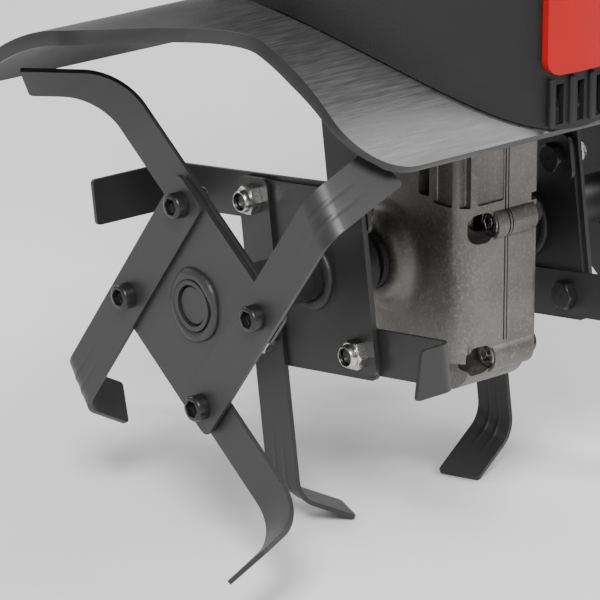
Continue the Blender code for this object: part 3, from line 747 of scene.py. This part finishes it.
for side, name in ((-1, "right"), (1, "left")):
    for where, plane, turn in (("outer", OUTER_PLANE, 0), ("inner", INNER_PLANE, 45)):
        tag = f"{name}_{where}"
        e1, e2 = star_axes(turn)
        half = BOLT_SQUARE / 2
        corners = [e1 * a + e2 * c for a, c in
                   ((half + 9, -half - 9), (half + 9, half + 9),
                    (-half - 13, half + 9), (-half - 13, -half - 9))]
        plate = outline("v_star_" + tag, rounded([(p.x, p.y) for p in corners], 5, 8),
                        PLATE_T, PAINT, side_matrix(side * plane))
        hub = ([(11.8, 73.0, 132.0), (11.8, 132.0, 135.6)] if where == "outer"
               else [(17.0, 38.0, 64.0), (11.8, 64.0, 72.6)])
        for k, (r, a, c) in enumerate(hub):
            join(plate, rod(f"vhub_{tag}_{k}", (side * (a + c) / 2, 0, 0), r, c - a,
                            "X", sides=32, cutter=True))
        cut(plate, rod(f"vbore_{tag}", (side * plane, 0, 0), SHAFT_R + 0.15, 240,
                       "X", sides=32, cutter=True))
        finish_piece(plate, PAINT, "rotor", ("star_" + tag,), 0.4, 3, 40)
        edge = 1.2
        weld(f"v_weld_{tag}_out", side * (plane + PLATE_T / 2 + 0.3), 14.2, 2.9,
             "rotor", PAINT, side + turn, 34)
        weld(f"v_weld_{tag}_in", side * (plane - PLATE_T / 2 - 0.3),
             14.2 if where == "outer" else 18.0, 2.6, "rotor", PAINT, 1.7, 30)
        lo = plane - PLATE_T / 2 - 0.1 - BLADE_T
        hi = plane + PLATE_T / 2 + 0.06 + BLADE_T
        for i, y, z in star_bolts(side, plane, turn):
            if where == "outer":
                cap_screw(f"v_screw_{tag}_{i}", side * hi, y, z, side, 6.0, 6.3,
                          "rotor", OXIDE, 7.2)
                hex_nut(f"v_nut_{tag}_{i}", side * lo, y, z, -side, 12.4, 5.4, "rotor",
                        ZINC_M)
            else:
                hex_nut(f"v_nut_{tag}_{i}", side * hi, y, z, side, 12.6, 5.6, "rotor",
                        ZINC_M, 4.3, 3.0)
                hex_nut(f"v_head_{tag}_{i}", side * lo, y, z, -side, 12.6, 5.2, "rotor",
                        OXIDE, 0.5)
            st = rod(f"v_stud_{tag}_{i}", (side * ((lo + hi) / 2 + (1.5 if where == "inner" else 0)), y, z), 3.7,
                     hi - lo + (10.0 if where == "inner" else 2.0), "X", OXIDE, 32)
            finish_piece(st, OXIDE, "rotor", (), 0.3)
        for which in (1, 2, 3, 4):
            blade(f"blade_{name}_{where}_{which}", side, plane, turn, which,
                  RECIPE[where][which])

shaft = turned("v_tine_shaft", [(0, 134.4), (8.4, 134.4), (SHAFT_R, 133.3),
                                (SHAFT_R, -133.3), (8.4, -134.4), (0, -134.4)], STEEL_M, axis="X",
               steps=24, closed=False)
finish_piece(shaft, PAINT, "rotor", ("tine_shaft",), 0)

# ------------------------------------------------------------------ gearcase
CASE_TOP = 136.0
CASE_FRONT = -53.0
BOLTS = ((-47.0, 22.7), (-44.5, -41.5))
RIM_X, FLOOR_X, SPOT_X = -8.0, 5.0, 23.6
EAR_Y = (-48.4, -47.0)


def case_half(s):
    name = "gearcase_right" if s < 0 else "gearcase_left"
    x0, x1 = ((CASE_NEAR, SEAM_X - 0.05) if s < 0 else (SEAM_X + 0.05, CASE_FAR))
    mid, wide = (x0 + x1) / 2, x1 - x0
    radii = [13, 0, 0, 3] if s < 0 else [0, 3.5, 3, 0]
    plan = rounded([(x0, CASE_FRONT), (x1, CASE_FRONT), (x1, 8), (x0, 8)], radii, 8)
    low = outline("v_" + name, plan, CASE_TOP + 42, ALU,
                  Matrix.Translation(P(0, 0, (CASE_TOP - 42) / 2)))
    join(low, rod(name + "_r1", (mid, 0, 0), 33, wide, "X", sides=48, cutter=True))
    # domed axle boss
    dome = turned(name + "_dome",
                  [(0, 30), (15.4, 30), (17.2, 29.5), (18.8, 28.3), (20, 26.6), (20.9, 24.8),
                   (21.8, 23), (23.2, 21.5), (25.2, 20.5), (27.6, 20.1), (27.6, 18), (0, 18)],
                  None, (0, 0, 0),
                  AIM["X"] if s > 0 else Matrix.Rotation(-math.pi / 2, 4, "Y"), 36,
                  cutter=True, closed=False)
    join(low, dome)
    lug = (-14, x1) if s < 0 else (x0, 21)
    join(low, rod(name + "_lug", (sum(lug) / 2, -34.8, -40), 18, lug[1] - lug[0], "X",
                  sides=40, cutter=True))
    pad = (-12, x1) if s < 0 else (x0, 12)
    join(low, box(name + "_pad", (pad[0], 10, -56), (pad[1], 38, -22), cutter=True))
    ear = (-0.4, x1) if s < 0 else (x0, SPOT_X)
    for k, (y, z) in enumerate(BOLTS):
        join(low, rod(f"{name}_ear{k}", (sum(ear) / 2, EAR_Y[k], z), 8.3,
                      ear[1] - ear[0], "X", sides=36, cutter=True))
    if s < 0:
        # panels between the ribs of the side wall and beside the flange
        cut(low, box(name + "_p0", (-26, -30.2, 35), (-12.0, -22.8, 100), cutter=True, bevel=1.2, segs=3))
        cut(low, box(name + "_p1", (-26, -44.8, 33), (-17.6, -33.2, 100), cutter=True, bevel=0.8, segs=3))
        cut(low, box(name + "_p2", (-26, -60, 33), (-13.4, -47.6, 100), cutter=True, bevel=0.8, segs=3))
        cut(low, box(name + "_f0", (-10.5, -60, 34), (5.4, -52.0, 84), cutter=True, bevel=0.9, segs=3))
        cut(low, box(name + "_g0", (6.1, -60, -34), (6.9, -51.4, 100), cutter=True))
        cut(low, box(name + "_g1", (7.9, -60, -34), (9.5, -52.0, 100), cutter=True))
    else:
        cut(low, box(name + "_n0", (22.6, -62, 22.7 + 7.6), (40, -44, 22.7 + 11.4), cutter=True))
    cut(low, rod(name + "_c1", (0, 0, 0), 25.5, 22, "X", sides=40, cutter=True))
    cut(low, rod(name + "_c2", (0, WORM_Y, 37), 11.6, 135.4, "Z", sides=40, cutter=True))
    cut(low, rod(name + "_c3", (0, WORM_Y, 119.7), 14.1, 38, "Z", sides=40, cutter=True))
    cut(low, rod(name + "_c4", (s * 15, 0, 0), 17.6, 12, "X", sides=40, cutter=True))
    cut(low, rod(name + "_c5", (s * 25, 0, 0), 10.8, 30, "X", sides=40, cutter=True))
    cut(low, rod(name + "_c6", (s * 30, 0, 0), 14.6, 10, "X", sides=40, cutter=True))
    for k, (y, z) in enumerate(BOLTS):
        cut(low, rod(f"{name}_h{k}", (31, y, z), 3.3, 62, "X", sides=32, cutter=True))
        if s < 0:
            cut(low, rod(f"{name}_s{k}", (FLOOR_X - 6.5, EAR_Y[k], z), 6.9, 13, "X", sides=36,
                         cutter=True))
            cut(low, box(f"{name}_u{k}", (-14.6, EAR_Y[k] - 14, z - 7.2), (-0.5, EAR_Y[k] + 5.4, z + 7.2),
                    cutter=True, bevel=5.0, segs=5))
        else:
            cut(low, rod(f"{name}_t{k}", (SPOT_X + 15, y, z), 7.6, 30, "X", sides=36,
                         cutter=True))
    finish_piece(low, ALU, "frame", (name,), 0.9, 3, 32, 40)


case_half(-1)
case_half(1)
for k, (y, z) in enumerate(BOLTS):
    tag = ("upper", "lower")[k]
    bolt = rod(f"v_case_bolt_{tag}", (15, y, z), 3.0, 28, "X", ZINC_M, 32)
    finish_piece(bolt, ZINC_M, "frame", (f"case_bolt_{tag}",), 0.2)
    cap_screw(f"v_case_screw_{tag}", 5.1, EAR_Y[k], z, -1, 6.2, 4.4, "frame", ZINC_M, 6.6)
    hex_nut(f"v_case_nut_{tag}", 23.9, y, z, 1, 11.4, 6.4, "frame", OXIDE, 3.0)

# -------------------------------------------------------------------- fender
FRONT_A, REAR_A = math.radians(38.0), math.radians(138.0)


def fender_half(a):
    f, r = math.radians(74.0), math.radians(101.0)
    t = min(max((a - f) / (r - f), 0.0), 1.0)
    return 124.5 + t * t * (3 - 2 * t) * 63.5


def fender_visual():
    corner, R = 32.0, FENDER_R - 0.9
    rows = [FRONT_A + corner / FENDER_R * (1 - math.cos(i / 12 * math.pi / 2)) for i in range(12)]
    a0 = FRONT_A + corner / FENDER_R
    rows += [a0 + (REAR_A - a0) * i / 60 for i in range(61)]
    cols = 24
    bm = bmesh.new()
    grid = []
    for a in rows:
        d = (a - FRONT_A) * FENDER_R
        w = fender_half(a)
        if d < corner:
            w = w - corner + math.sqrt(max(corner ** 2 - (corner - d) ** 2, 0.0))
        grid.append([bm.verts.new(P(w * (-1 + 2 * j / cols), -R * math.cos(a),
                                    R * math.sin(a))) for j in range(cols + 1)])
    for r0, r1 in zip(grid, grid[1:]):
        for i in range(cols):
            bm.faces.new((r0[i], r0[i + 1], r1[i + 1], r1[i]))
    # rim turned down along the sides, shallow across the front
    loop = ([(r, 0) for r in range(len(rows) - 1, 0, -1)] +
            [(0, j) for j in range(cols + 1)] +
            [(r, cols) for r in range(1, len(rows))])
    outer = [grid[r][c] for r, c in loop]
    steps = []
    for k, f in enumerate((0.35, 0.75, 1.0)):
        line = []
        for (r, c), v in zip(loop, outer):
            p = v.co - P(0, 0, 0)
            a = math.atan2(p.z, -p.y)
            rad = math.hypot(p.y, p.z)
            depth = (3.2 if r < 8 else 3.2 + 3.2 * min((r - 8) / 12, 1.0)) * 0.001
            out = 0.0012 * math.sin(f * math.pi / 2)
            sx = 1 if p.x > 0 else -1
            side_w = out * sx if r > 3 else out * p.x / 0.125
            fwd = out if r < 5 else 0.0
            rr = rad - depth * f + (-0.0002)
            line.append(bm.verts.new(P(0, 0, 0) + Vector(
                (p.x + side_w, -rr * math.cos(a - fwd / rad), rr * math.sin(a - fwd / rad)))))
        steps.append(line)
    prev = outer
    for line in steps:
        for i in range(len(line) - 1):
            bm.faces.new((prev[i], prev[i + 1], line[i + 1], line[i]))
        prev = line
    bmesh.ops.recalc_face_normals(bm, faces=bm.faces)
    mid = grid[30][12]
    if sum(f.normal.z for f in mid.link_faces) < 0:
        bmesh.ops.reverse_faces(bm, faces=bm.faces)
    me = bpy.data.meshes.new("v_fender")
    bm.to_mesh(me)
    bm.free()
    o = put("v_fender", me, SHEET)
    s = o.modifiers.new("sheet", "SOLIDIFY")
    s.thickness = 0.0018
    s.offset = -1
    cut(o, box("v_fender_hole", (CASE_NEAR - 0.5, CASE_FRONT - 0.5, 90),
               (CASE_FAR + 0.5, 8.5, 160), cutter=True))
    finish_piece(o, SHEET, "frame", ("fender",), 0.3, 2, 50, 50)
    # painted shade: rim faces that turn away from the outer surface get the darker tube paint, standing in for
    # the shadow on the turned-down rim
    o.data.materials.append(TUBE_PAINT_AND_RIM_SHADE)
    mid = P(0, 0, 0)
    for p in o.data.polygons:
        arm = Vector((0, p.center.y - mid.y, p.center.z - mid.z)).normalized()
        if p.normal.dot(arm) < 0.55:
            p.material_index = 1
    return o


fender_visual()

# -------------------------------------------------------------- engine group
SHROUD_Y = -8
sh = ring("v_lower_shroud", 100, 97, 40, 214, BLACK_P, (0, SHROUD_Y, 0), steps=64)
cut(sh, rod("vs_saddle", (0, 0, 0), FENDER_R + 0.5, 400, "X", sides=96, cutter=True))
cut(sh, box("vs_back", (-76, 30, 137), (76, 130, 230), cutter=True, bevel=6, segs=4))
for i in range(3):
    x = -12 + i * 12
    cut(sh, box(f"vs_slot{i}", (x - 2.0, -130, 86), (x + 2.0, -90, 104.5), cutter=True))
for side in (-1, 1):
    for i in range(7):
        y = -58 + i * 13
        cut(sh, box(f"vs_side{side}{i}", (side * 60 if side > 0 else -120, y, 168),
                    (120 if side > 0 else -60, y + 5, 198), cutter=True, bevel=2.2, segs=3))
finish_piece(sh, BLACK_P, "frame", ("lower_shroud",), 0.7, 3, 40)
for i in range(4):
    x = -18 + i * 12
    rb = box(f"v_shroud_rib{i}", (x - 1.4, -109.6, 85.5), (x + 1.4, -106.8, 108), BLACK_P, 0.9, 3)
    finish_piece(rb, BLACK_P, "frame", (), 0)
band = ring("v_shroud_band", 101.6, 99.6, 205, 211, BLACK_P, (0, SHROUD_Y, 0), steps=64)
cut(band, box("vb_back", (-76, 30, 137), (76, 130, 230), cutter=True))
finish_piece(band, BLACK_P, "frame", (), 0.6)


def cover_visual():
    out = []
    for i in range(49):
        a = math.pi + math.pi * i / 48
        out.append((102 * math.cos(a), -8 + 102 * math.sin(a)))
    rear = rounded([(102, -8), (102, 34), (84, 50), (-84, 50), (-102, 34), (-102, -8)],
                   [0, 12, 10, 10, 12, 0], 8)
    out += rear[1:-1]
    flat = Matrix.Translation(P(0, 0, 238))
    o = outline("v_top_cover", out, 47, RED_P, flat)
    bv = o.modifiers.new("crown", "BEVEL")
    bv.width = 0.015
    bv.segments = 8
    bv.limit_method = "ANGLE"
    bv.angle_limit = math.radians(60)
    cut(o, box("vc_under", (-140, -140, 200), (140, 140, 216), cutter=True))
    cut(o, rod("vc_hollow", (0, -12, 224), 88, 64, "Z", sides=64, cutter=True))
    cut(o, box("vc_rear", (-40, -10, 205), (40, 80, 239.5), cutter=True))
    t = ring("vc_tongue", 104, 100.4, 110, 232, None, (0, SHROUD_Y, 0), steps=96, cutter=True)
    prof = rounded([(-22, 110), (22, 110), (22, 240), (-22, 240)], [7, 7, 0, 0], 8)
    keep = outline("vc_keep", prof, 100, None,
                   Matrix.Translation(P(0, -105, 0)) @ Matrix.Rotation(math.pi / 2, 4, "X"), True)
    cut(t, keep, "INTERSECT")
    join(o, t)
    cut(o, rod("vc_mouth", (0, WORM_Y, 262), 58, 30, "Z", sides=48, cutter=True))
    for side in (-1, 1):
        for i in range(6):
            y = -52 + i * 14
            cut(o, box(f"vc_vent{side}{i}", (side * 84 if side > 0 else -112, y, 226),
                       (112 if side > 0 else -84, y + 5.5, 246), cutter=True, bevel=2.4, segs=3))
    return finish_piece(o, RED_P, "frame", ("top_cover",), 0.6, 3, 38, 40)


cover_visual()

st = turned("v_starter_housing", [(0, 284), (16, 284), (18, 283.2), (19, 281.6), (21, 281.6),
                                  (22, 283.2), (38, 283.2), (44, 282), (50, 279.5), (53.5, 276),
                                  (56.4, 270), (56.8, 262.3), (51, 262.3), (49, 271),
                                  (44, 276), (0, 276)],
            BLACK_P, (0, WORM_Y, 0), "Z", 48, closed=False)
for i in range(18):
    a = 2 * math.pi * i / 18
    c = box(f"vst_{i}", (-2.1, -6.5, -20), (2.1, 6.5, 20), cutter=True, bevel=1.6, segs=3)
    c.matrix_world = (Matrix.Translation(P(33 * math.cos(a), WORM_Y + 33 * math.sin(a), 280))
                      @ Matrix.Rotation(a + math.pi / 2, 4, "Z"))
    cut(st, c)
finish_piece(st, BLACK_P, "frame", ("starter_housing",), 0.5, 3, 35)
for i in range(4):
    a = math.pi / 4 + i * math.pi / 2
    x, y = 48.5 * math.cos(a), WORM_Y + 48.5 * math.sin(a)
    b = turned(f"v_starter_bolt{i}", [(0, 284.2), (3.4, 284.2), (4.2, 283.2), (4.2, 278), (0, 278)],
               ZINC_M, (x, y, 0), "Z", 24, closed=False)
    cut(b, rod(f"vsb_{i}", (x, y, 284), 2.2, 4, "Z", sides=6, cutter=True))
    finish_piece(b, ZINC_M, "frame", (), 0.2)

g = box("v_starter_grip", (-84, WORM_Y - 22, 268), (-72, WORM_Y + 22, 280), BLACK_P, 5.0, 5)
join(g, rod("vg_neck", (-66, WORM_Y, 274), 4.2, 14, "X", sides=32, cutter=True))
for i in range(5):
    y = WORM_Y - 14 + i * 7
    cut(g, box(f"vg_g{i}", (-86, y - 0.7, 279.2), (-70, y + 0.7, 284), cutter=True))
finish_piece(g, BLACK_P, "starter_pull", ("starter_grip",), 0.4)

block = rod("v_engine_block", (0, WORM_Y, 209.5), 41, 58.4, "Z", ALU, 32)
join(block, box("vbarrel", (-26, WORM_Y, 184), (26, 62, 235), cutter=True, bevel=3, segs=3))
for i in range(8):
    y = 14 + i * 6.4
    join(block, box(f"vfin{i}", (-34, y, 182), (34, y + 2.0, 237.5), cutter=True, bevel=0.8, segs=2))
cut(block, rod("vblock_bore", (0, WORM_Y, 210), 7.6, 100, "Z", sides=32, cutter=True))
finish_piece(block, ALU, "frame", ("engine_block",), 0.5, 2, 35)

ch = turned("v_clutch_housing", [(34, 180), (40.5, 180), (40.5, 176), (38, 174.5), (38, 141),
                                 (36, 136.6), (7.0, 136.4), (7.0, 140.5), (34, 140.5)],
            ALU, (0, WORM_Y, 0), "Z", 40)
finish_piece(ch, ALU, "frame", ("clutch_housing",), 0.5)

tank = box("v_fuel_tank", (10, 64, 217), (82, 126, 274), TANK_P, 12, 8)
cut(tank, rod("vtank_bore", (46, 95, 262), 13.5, 40, "Z", sides=40, cutter=True))
finish_piece(tank, TANK_P, "frame", ("fuel_tank",), 0.6, 3, 60)
seam_t = box("v_tank_seam", (9.3, 63.3, 243.4), (82.7, 126.7, 246.6), TANK_P, 0, 2)
bvs = seam_t.modifiers.new("c", "BEVEL")
bvs.width = 0.0118
bvs.segments = 8
bvs.affect = "EDGES"
bvs.limit_method = "WEIGHT"
me_t = seam_t.data
wt = me_t.attributes.new("bevel_weight_edge", "FLOAT", "EDGE")
for e in me_t.edges:
    v0, v1 = (me_t.vertices[i].co for i in e.vertices)
    wt.data[e.index].value = 1.0 if abs(v0.z - v1.z) > 0.001 else 0.0
finish_piece(seam_t, TANK_P, "frame", (), 0.5, 3, 50)
cap = turned("v_fuel_cap", [(0, 287), (13, 287), (16.5, 286.2), (18, 284.6), (18.6, 282),
                            (18.6, 275.4), (18, 274.5), (12.8, 274.5), (12.8, 246), (0, 246)],
             BLACK_P, (46, 95, 0), "Z", 48, closed=False)
for i in range(24):
    a = 2 * math.pi * i / 24
    cut(cap, rod(f"vcap{i}", (46 + 19.6 * math.cos(a), 95 + 19.6 * math.sin(a), 281), 1.5,
                 16, "Z", sides=8, cutter=True))
finish_piece(cap, BLACK_P, "cap", ("fuel_cap",), 0.35)

af = box("v_air_filter_cover", (-82, 64, 217), (-10, 112, 268), BLACK_P, 10, 8)
for i in range(6):
    z = 226 + i * 6.2
    cut(af, box(f"vaf{i}", (-70, 108.6, z), (-22, 116, z + 2.4), cutter=True, bevel=1.0, segs=2))
finish_piece(af, BLACK_P, "frame", ("air_filter_cover",), 0.5, 3, 50)
kn = turned("v_filter_knob", [(0, 7.4), (6, 7.4), (8, 6), (8, 0), (0, 0)], BLACK_P,
            (-46, 88, 267.6), "Z", 24, closed=False)
for i in range(8):
    a = math.pi / 4 * i
    cut(kn, rod(f"vkn{i}", (-46 + 9 * math.cos(a), 88 + 9 * math.sin(a), 272), 2.2, 14, "Z",
                sides=24, cutter=True))
finish_piece(kn, BLACK_P, "frame", (), 0.3)
mf = box("v_muffler", (-30, 67, 178), (40, 104, 214), HOT, 8, 8)
for i in range(7):
    x = -20 + i * 8.4
    cut(mf, box(f"vmf{i}", (x, 101.5, 184), (x + 3.6, 110, 208), cutter=True, bevel=1.5, segs=3))
finish_piece(mf, HOT, "frame", ("muffler",), 0.6, 3, 50)

# -------------------------------------------------------------------- handle
hb = box("v_handle_bracket", (-62, 8, 142), (62, 134, 147.7), TUBE_PAINT_AND_RIM_SHADE, 1.2, 3)
for k, x in enumerate((-32, 32)):
    join(hb, box(f"vsad{k}", (x - 9, 112, 146), (x + 9, 146, 178), cutter=True, bevel=3, segs=4))
    cut(hb, rod(f"vsadb{k}", (x, 129, 160), 11.15, 60, "X", sides=40, cutter=True))
finish_piece(hb, TUBE_PAINT_AND_RIM_SHADE, "frame", ("handle_bracket",), 0.5, 3, 40)
for x in (-50, 50):
    for y in (22, 100):
        bb = turned(f"v_bracket_bolt_{x}_{y}".replace("-", "m"),
                    [(0, 153), (4.6, 153), (5.4, 152), (5.4, 147.9), (8, 147.8), (8, 147.2), (0, 147.2)],
                    ZINC_M, (x, y, 0), "Z", 24, closed=False)
        cut(bb, rod(f"vbb{x}{y}", (x, y, 153), 2.9, 5, "Z", sides=6, cutter=True))
        finish_piece(bb, ZINC_M, "frame", (), 0.2)

LOWER = [(0, 129, 160), (62, 129, 160), (96, 150, 200), (FOLD_X, 262, 409),
         (FOLD_X, 307, 493.2)]
halfp = fillet_path(LOWER, 34, 14)
whole = [(-p.x, p.y, p.z) for p in halfp[::-1]][:-1] + [(p.x, p.y, p.z) for p in halfp[1:]]
lower = tube("v_lower_handle", whole, 11.0, TUBE_PAINT_AND_RIM_SHADE)
UPPER_X = FOLD_X + 23.6
UPPER = [(UPPER_X, 293, 466.9), (UPPER_X, 398, 663), (225, 520, 764.3), (225, 692, 790)]
uh = fillet_path(UPPER, 60, 16)
upper = tube("v_upper_handle", [tuple(p) for p in uh], 11.0, TUBE_PAINT_AND_RIM_SHADE)
other = tube("v_upper_other", [(-p.x, p.y, p.z) for p in uh], 11.0, None, 6, True)
bar_y, bar_z = 374.0, 618.3
bar = rod("v_upper_bar", (0, bar_y, bar_z), 8.0, 2 * UPPER_X - 4, "X", sides=32, cutter=True,
          turn=0.05)
join(upper, bar)
join(upper, other)
for k, s in enumerate((-1, 1)):
    hole = rod(f"vfold{k}", (s * (FOLD_X + 12), *HINGE), 4.4, 90, "X", sides=32, cutter=True)
    hole2 = rod(f"vfoldb{k}", (s * (FOLD_X + 12), *HINGE), 4.4, 90, "X", sides=32, cutter=True)
    cut(lower, hole)
    cut(upper, hole2)
finish_piece(lower, TUBE_PAINT_AND_RIM_SHADE, "frame", ("lower_handle",), 0.4, 2, 50)
finish_piece(upper, TUBE_PAINT_AND_RIM_SHADE, "handle", ("upper_handle",), 0.4, 2, 50)

GRIP_DIR = (Vector(UPPER[3]) - Vector(UPPER[2])).normalized()
grip_aim = Vector((0, 0, 1)).rotation_difference(GRIP_DIR).to_matrix().to_4x4()
for s, name in ((-1, "right"), (1, "left")):
    end = Vector((s * 225, 692, 790))
    prof = [(0, 6), (10, 6), (13.4, 5), (15.2, 2.5), (15.6, 0)]
    for i in range(13):
        h = -6 - i * 7.6
        prof += [(15.6, h), (14.6, h - 0.8), (14.6, h - 2.2), (15.6, h - 3.0)]
    prof += [(15.7, -110), (18.2, -114), (19, -117), (18.2, -120), (11.1, -120), (11.1, 0.2), (0, 0.2)]
    gr = turned("v_grip_" + name, prof, RUB, tuple(end), grip_aim, 40, closed=False)
    finish_piece(gr, RUB, "handle", ("grip_" + name,), 0.4, 2, 30)
    aim = AIM["X"] if s > 0 else Matrix.Rotation(-math.pi / 2, 4, "Y")
    kb = turned("v_fold_knob_" + name,
                [(0, 50), (8, 50), (17, 48.6), (20.4, 46), (21, 43), (21, 38), (19, 36), (12, 34),
                 (9, 30.3), (9, 26.3), (4, 26.3), (4, -26), (0, -26)], BLACK_P,
                (s * (FOLD_X + 9.3), *HINGE), aim, 40, closed=False)
    for i in range(7):
        a = 2 * math.pi * i / 7
        cut(kb, rod(f"vkb{name}{i}", (s * (FOLD_X + 9.3 + 42), HINGE[0] + 24 * math.cos(a),
                                      HINGE[1] + 24 * math.sin(a)), 6.0, 24, "X", sides=32,
                    cutter=True))
    finish_piece(kb, BLACK_P, "knob_" + name, ("fold_knob_" + name,), 0.6, 3, 35)

tb = Vector((-225, 692, 790)) - GRIP_DIR * 134
hous = rod("v_throttle_housing", tuple(tb), 17.5, 26, grip_aim, BLACK_P, 40)
join(hous, box("vth_body", (-225 - 11, tb.y - 13, tb.z - 32), (-225 + 11, tb.y + 12, tb.z - 6),
               cutter=True, bevel=3, segs=4))
join(hous, box("vth_seat", (-225 - 10, tb.y - 12, tb.z + 8), (-225 + 10, tb.y + 11, tb.z + 22),
               cutter=True, bevel=2.5, segs=4))
cut(hous, rod("vth_clear", tuple(tb), 11.15, 80, grip_aim, sides=40, cutter=True))
cut(hous, box("vth_slot", (-225 - 5, tb.y - 6, tb.z - 45), (-225 + 5, tb.y + 30, tb.z - 17.5),
              cutter=True))
finish_piece(hous, BLACK_P, "handle", ("throttle_housing",), 0.5, 3, 40)
LEVER = (tb.y + 4.0, tb.z - 24.0)
lev_pts = fillet_path([(-225, LEVER[0] - 1, LEVER[1]), (-225, LEVER[0] + 16, LEVER[1] - 4),
                       (-225, LEVER[0] + 42, LEVER[1] - 8), (-225, LEVER[0] + 70, LEVER[1] - 3)],
                      18, 8)
lv = tube("v_throttle_lever", [tuple(p) for p in lev_pts], 4.2, BLACK_P)
finish_piece(lv, BLACK_P, "throttle", ("throttle_lever",), 0.9, 3, 50)
sw = box("v_stop_switch", (-225 - 6, tb.y - 7, tb.z + 22.3), (-225 + 6, tb.y + 7, tb.z + 27),
         RED_P, 1.5, 4)
for i in range(4):
    cut(sw, box(f"vsw{i}", (-225 - 4.5, tb.y - 5 + i * 2.8, tb.z + 26.3),
                (-225 + 4.5, tb.y - 4 + i * 2.8, tb.z + 29), cutter=True))
finish_piece(sw, RED_P, "switch", ("stop_switch",), 0.2)

# ---------------------------------------------------------------- drag stake
STAKE_Y = 158.0
sb = box("v_stake_bracket", (-9, 42, -61), (9, 152, -51), TUBE_PAINT_AND_RIM_SHADE, 1.2, 3)
join(sb, box("vsb_plate", (-11, 38.3, -58), (11, 43.3, -23), cutter=True, bevel=1.0, segs=2))
join(sb, rod("vsb_socket", (0, STAKE_Y, -58), 11.5, 36, "Z", sides=40, cutter=True))
join(sb, rod("vsb_boss", (0, STAKE_Y + 12, -58), 6.5, 10, "Y", sides=32, cutter=True))
cut(sb, rod("vsb_bore", (0, STAKE_Y, -58), 7.3, 60, "Z", sides=40, cutter=True))
cut(sb, rod("vsb_tap", (0, STAKE_Y + 12, -58), 3.4, 30, "Y", sides=24, cutter=True))
finish_piece(sb, TUBE_PAINT_AND_RIM_SHADE, "frame", ("stake_bracket",), 0.5, 3, 40)
ds = turned("v_drag_stake", [(0, -22), (5.6, -22), (7, -24), (7, -112), (6.4, -118),
                             (4.8, -AXLE_Z + 1.2), (4.0, -AXLE_Z), (0, -AXLE_Z)],
            STEEL_M, (0, STAKE_Y, 0), "Z", 40, closed=False)
for i in range(4):
    cut(ds, ring(f"vds{i}", 9, 6.3, -44 - i * 12, -42.4 - i * 12, None, (0, STAKE_Y, 0), "Z", 24, True)
        if i in (0, 3) else rod(f"vds{i}", (0, STAKE_Y + 9.2, -43 - i * 12), 2.8, 1.6, "Z",
                                sides=24, cutter=True))
finish_piece(ds, STEEL_M, "stake", ("drag_stake",), 0.4, 2, 40)
sk = turned("v_stake_knob", [(0, 34), (8, 34), (11, 33), (12, 30), (12, 24), (10, 22), (6, 20),
                             (3, 19), (3, 8.4), (0, 8.4)], BLACK_P, (0, STAKE_Y, -58), "Y", 40,
            closed=False)
for i in range(6):
    a = math.pi / 3 * i
    cut(sk, rod(f"vsk{i}", (13.8 * math.cos(a), STAKE_Y + 28, -58 + 13.8 * math.sin(a)), 3.6, 16,
                "Y", sides=24, cutter=True))
finish_piece(sk, BLACK_P, "stake_screw", ("stake_knob",), 0.4, 3, 35)

# --------------------------------------------- carried-over pieces, materials
KEEP = {"worm_wheel": BRONZE_M, "worm_shaft": STEEL_M, "worm_bearing_lower": STEEL_M,
        "worm_bearing_upper": STEEL_M, "axle_bearing_left": STEEL_M,
        "axle_bearing_right": STEEL_M, "axle_seal_left": RUB, "axle_seal_right": RUB,
        "clutch_drum": STEEL_M, "crankshaft": STEEL_M, "flywheel": ALU}
for node, mat in KEEP.items():
    o = frame["nodes"][node]
    if isinstance(o, str):
        o = bpy.data.objects[o]
    if not o.material_slots:
        o.data.materials.append(mat)
    for sl in o.material_slots:
        sl.material = mat

# ------------------------------------------------------------ floor and light
bm = bmesh.new()
bmesh.ops.create_grid(bm, x_segments=1, y_segments=1, size=8.0)
me = bpy.data.meshes.new("floor")
bm.to_mesh(me)
bm.free()
floor = bpy.data.objects.new("floor", me)
floor.location = (0, 0, -0.0002)
bpy.context.scene.collection.objects.link(floor)
fl = Nodes("pale_floor", 0.9, 0.0, 0.0, 0.1)
fl.colour(fl.ramp(fl.noise(1.5, 3), [(0.3, grey(0.95)), (0.7, grey(0.97))]))
me.materials.append(fl.m)

world = bpy.data.worlds.new("studio")
world.use_nodes = True
world.node_tree.nodes["Background"].inputs["Color"].default_value = (1, 1, 1, 1)
world.node_tree.nodes["Background"].inputs["Strength"].default_value = 0.5
bpy.context.scene.world = world


def area(name, place, target, size, power):
    l = bpy.data.lights.new(name, "AREA")
    l.shape = "RECTANGLE"
    l.size, l.size_y = size
    l.energy = power
    o = bpy.data.objects.new(name, l)
    o.location = place
    o.rotation_euler = (Vector(place) - Vector(target)).to_track_quat("Z", "Y").to_euler()
    bpy.context.scene.collection.objects.link(o)


area("key", (-1.5, -1.7, 1.9), (0, -0.25, 0.15), (0.8, 0.8), 78)
area("sheen", (1.1, -1.1, 1.4), (0, -0.33, 0.2), (0.7, 0.7), 17)
area("fill", (1.8, 0.8, 1.5), (0, 0, 0.3), (1.4, 1.4), 12)
area("back", (-0.6, 2.2, 1.6), (0, 0, 0.4), (1.4, 1.0), 16)

left = [o.name for o in LOOK.objects if o.name not in PIECES]
for n in left:
    bpy.data.objects.remove(bpy.data.objects[n], do_unlink=True)
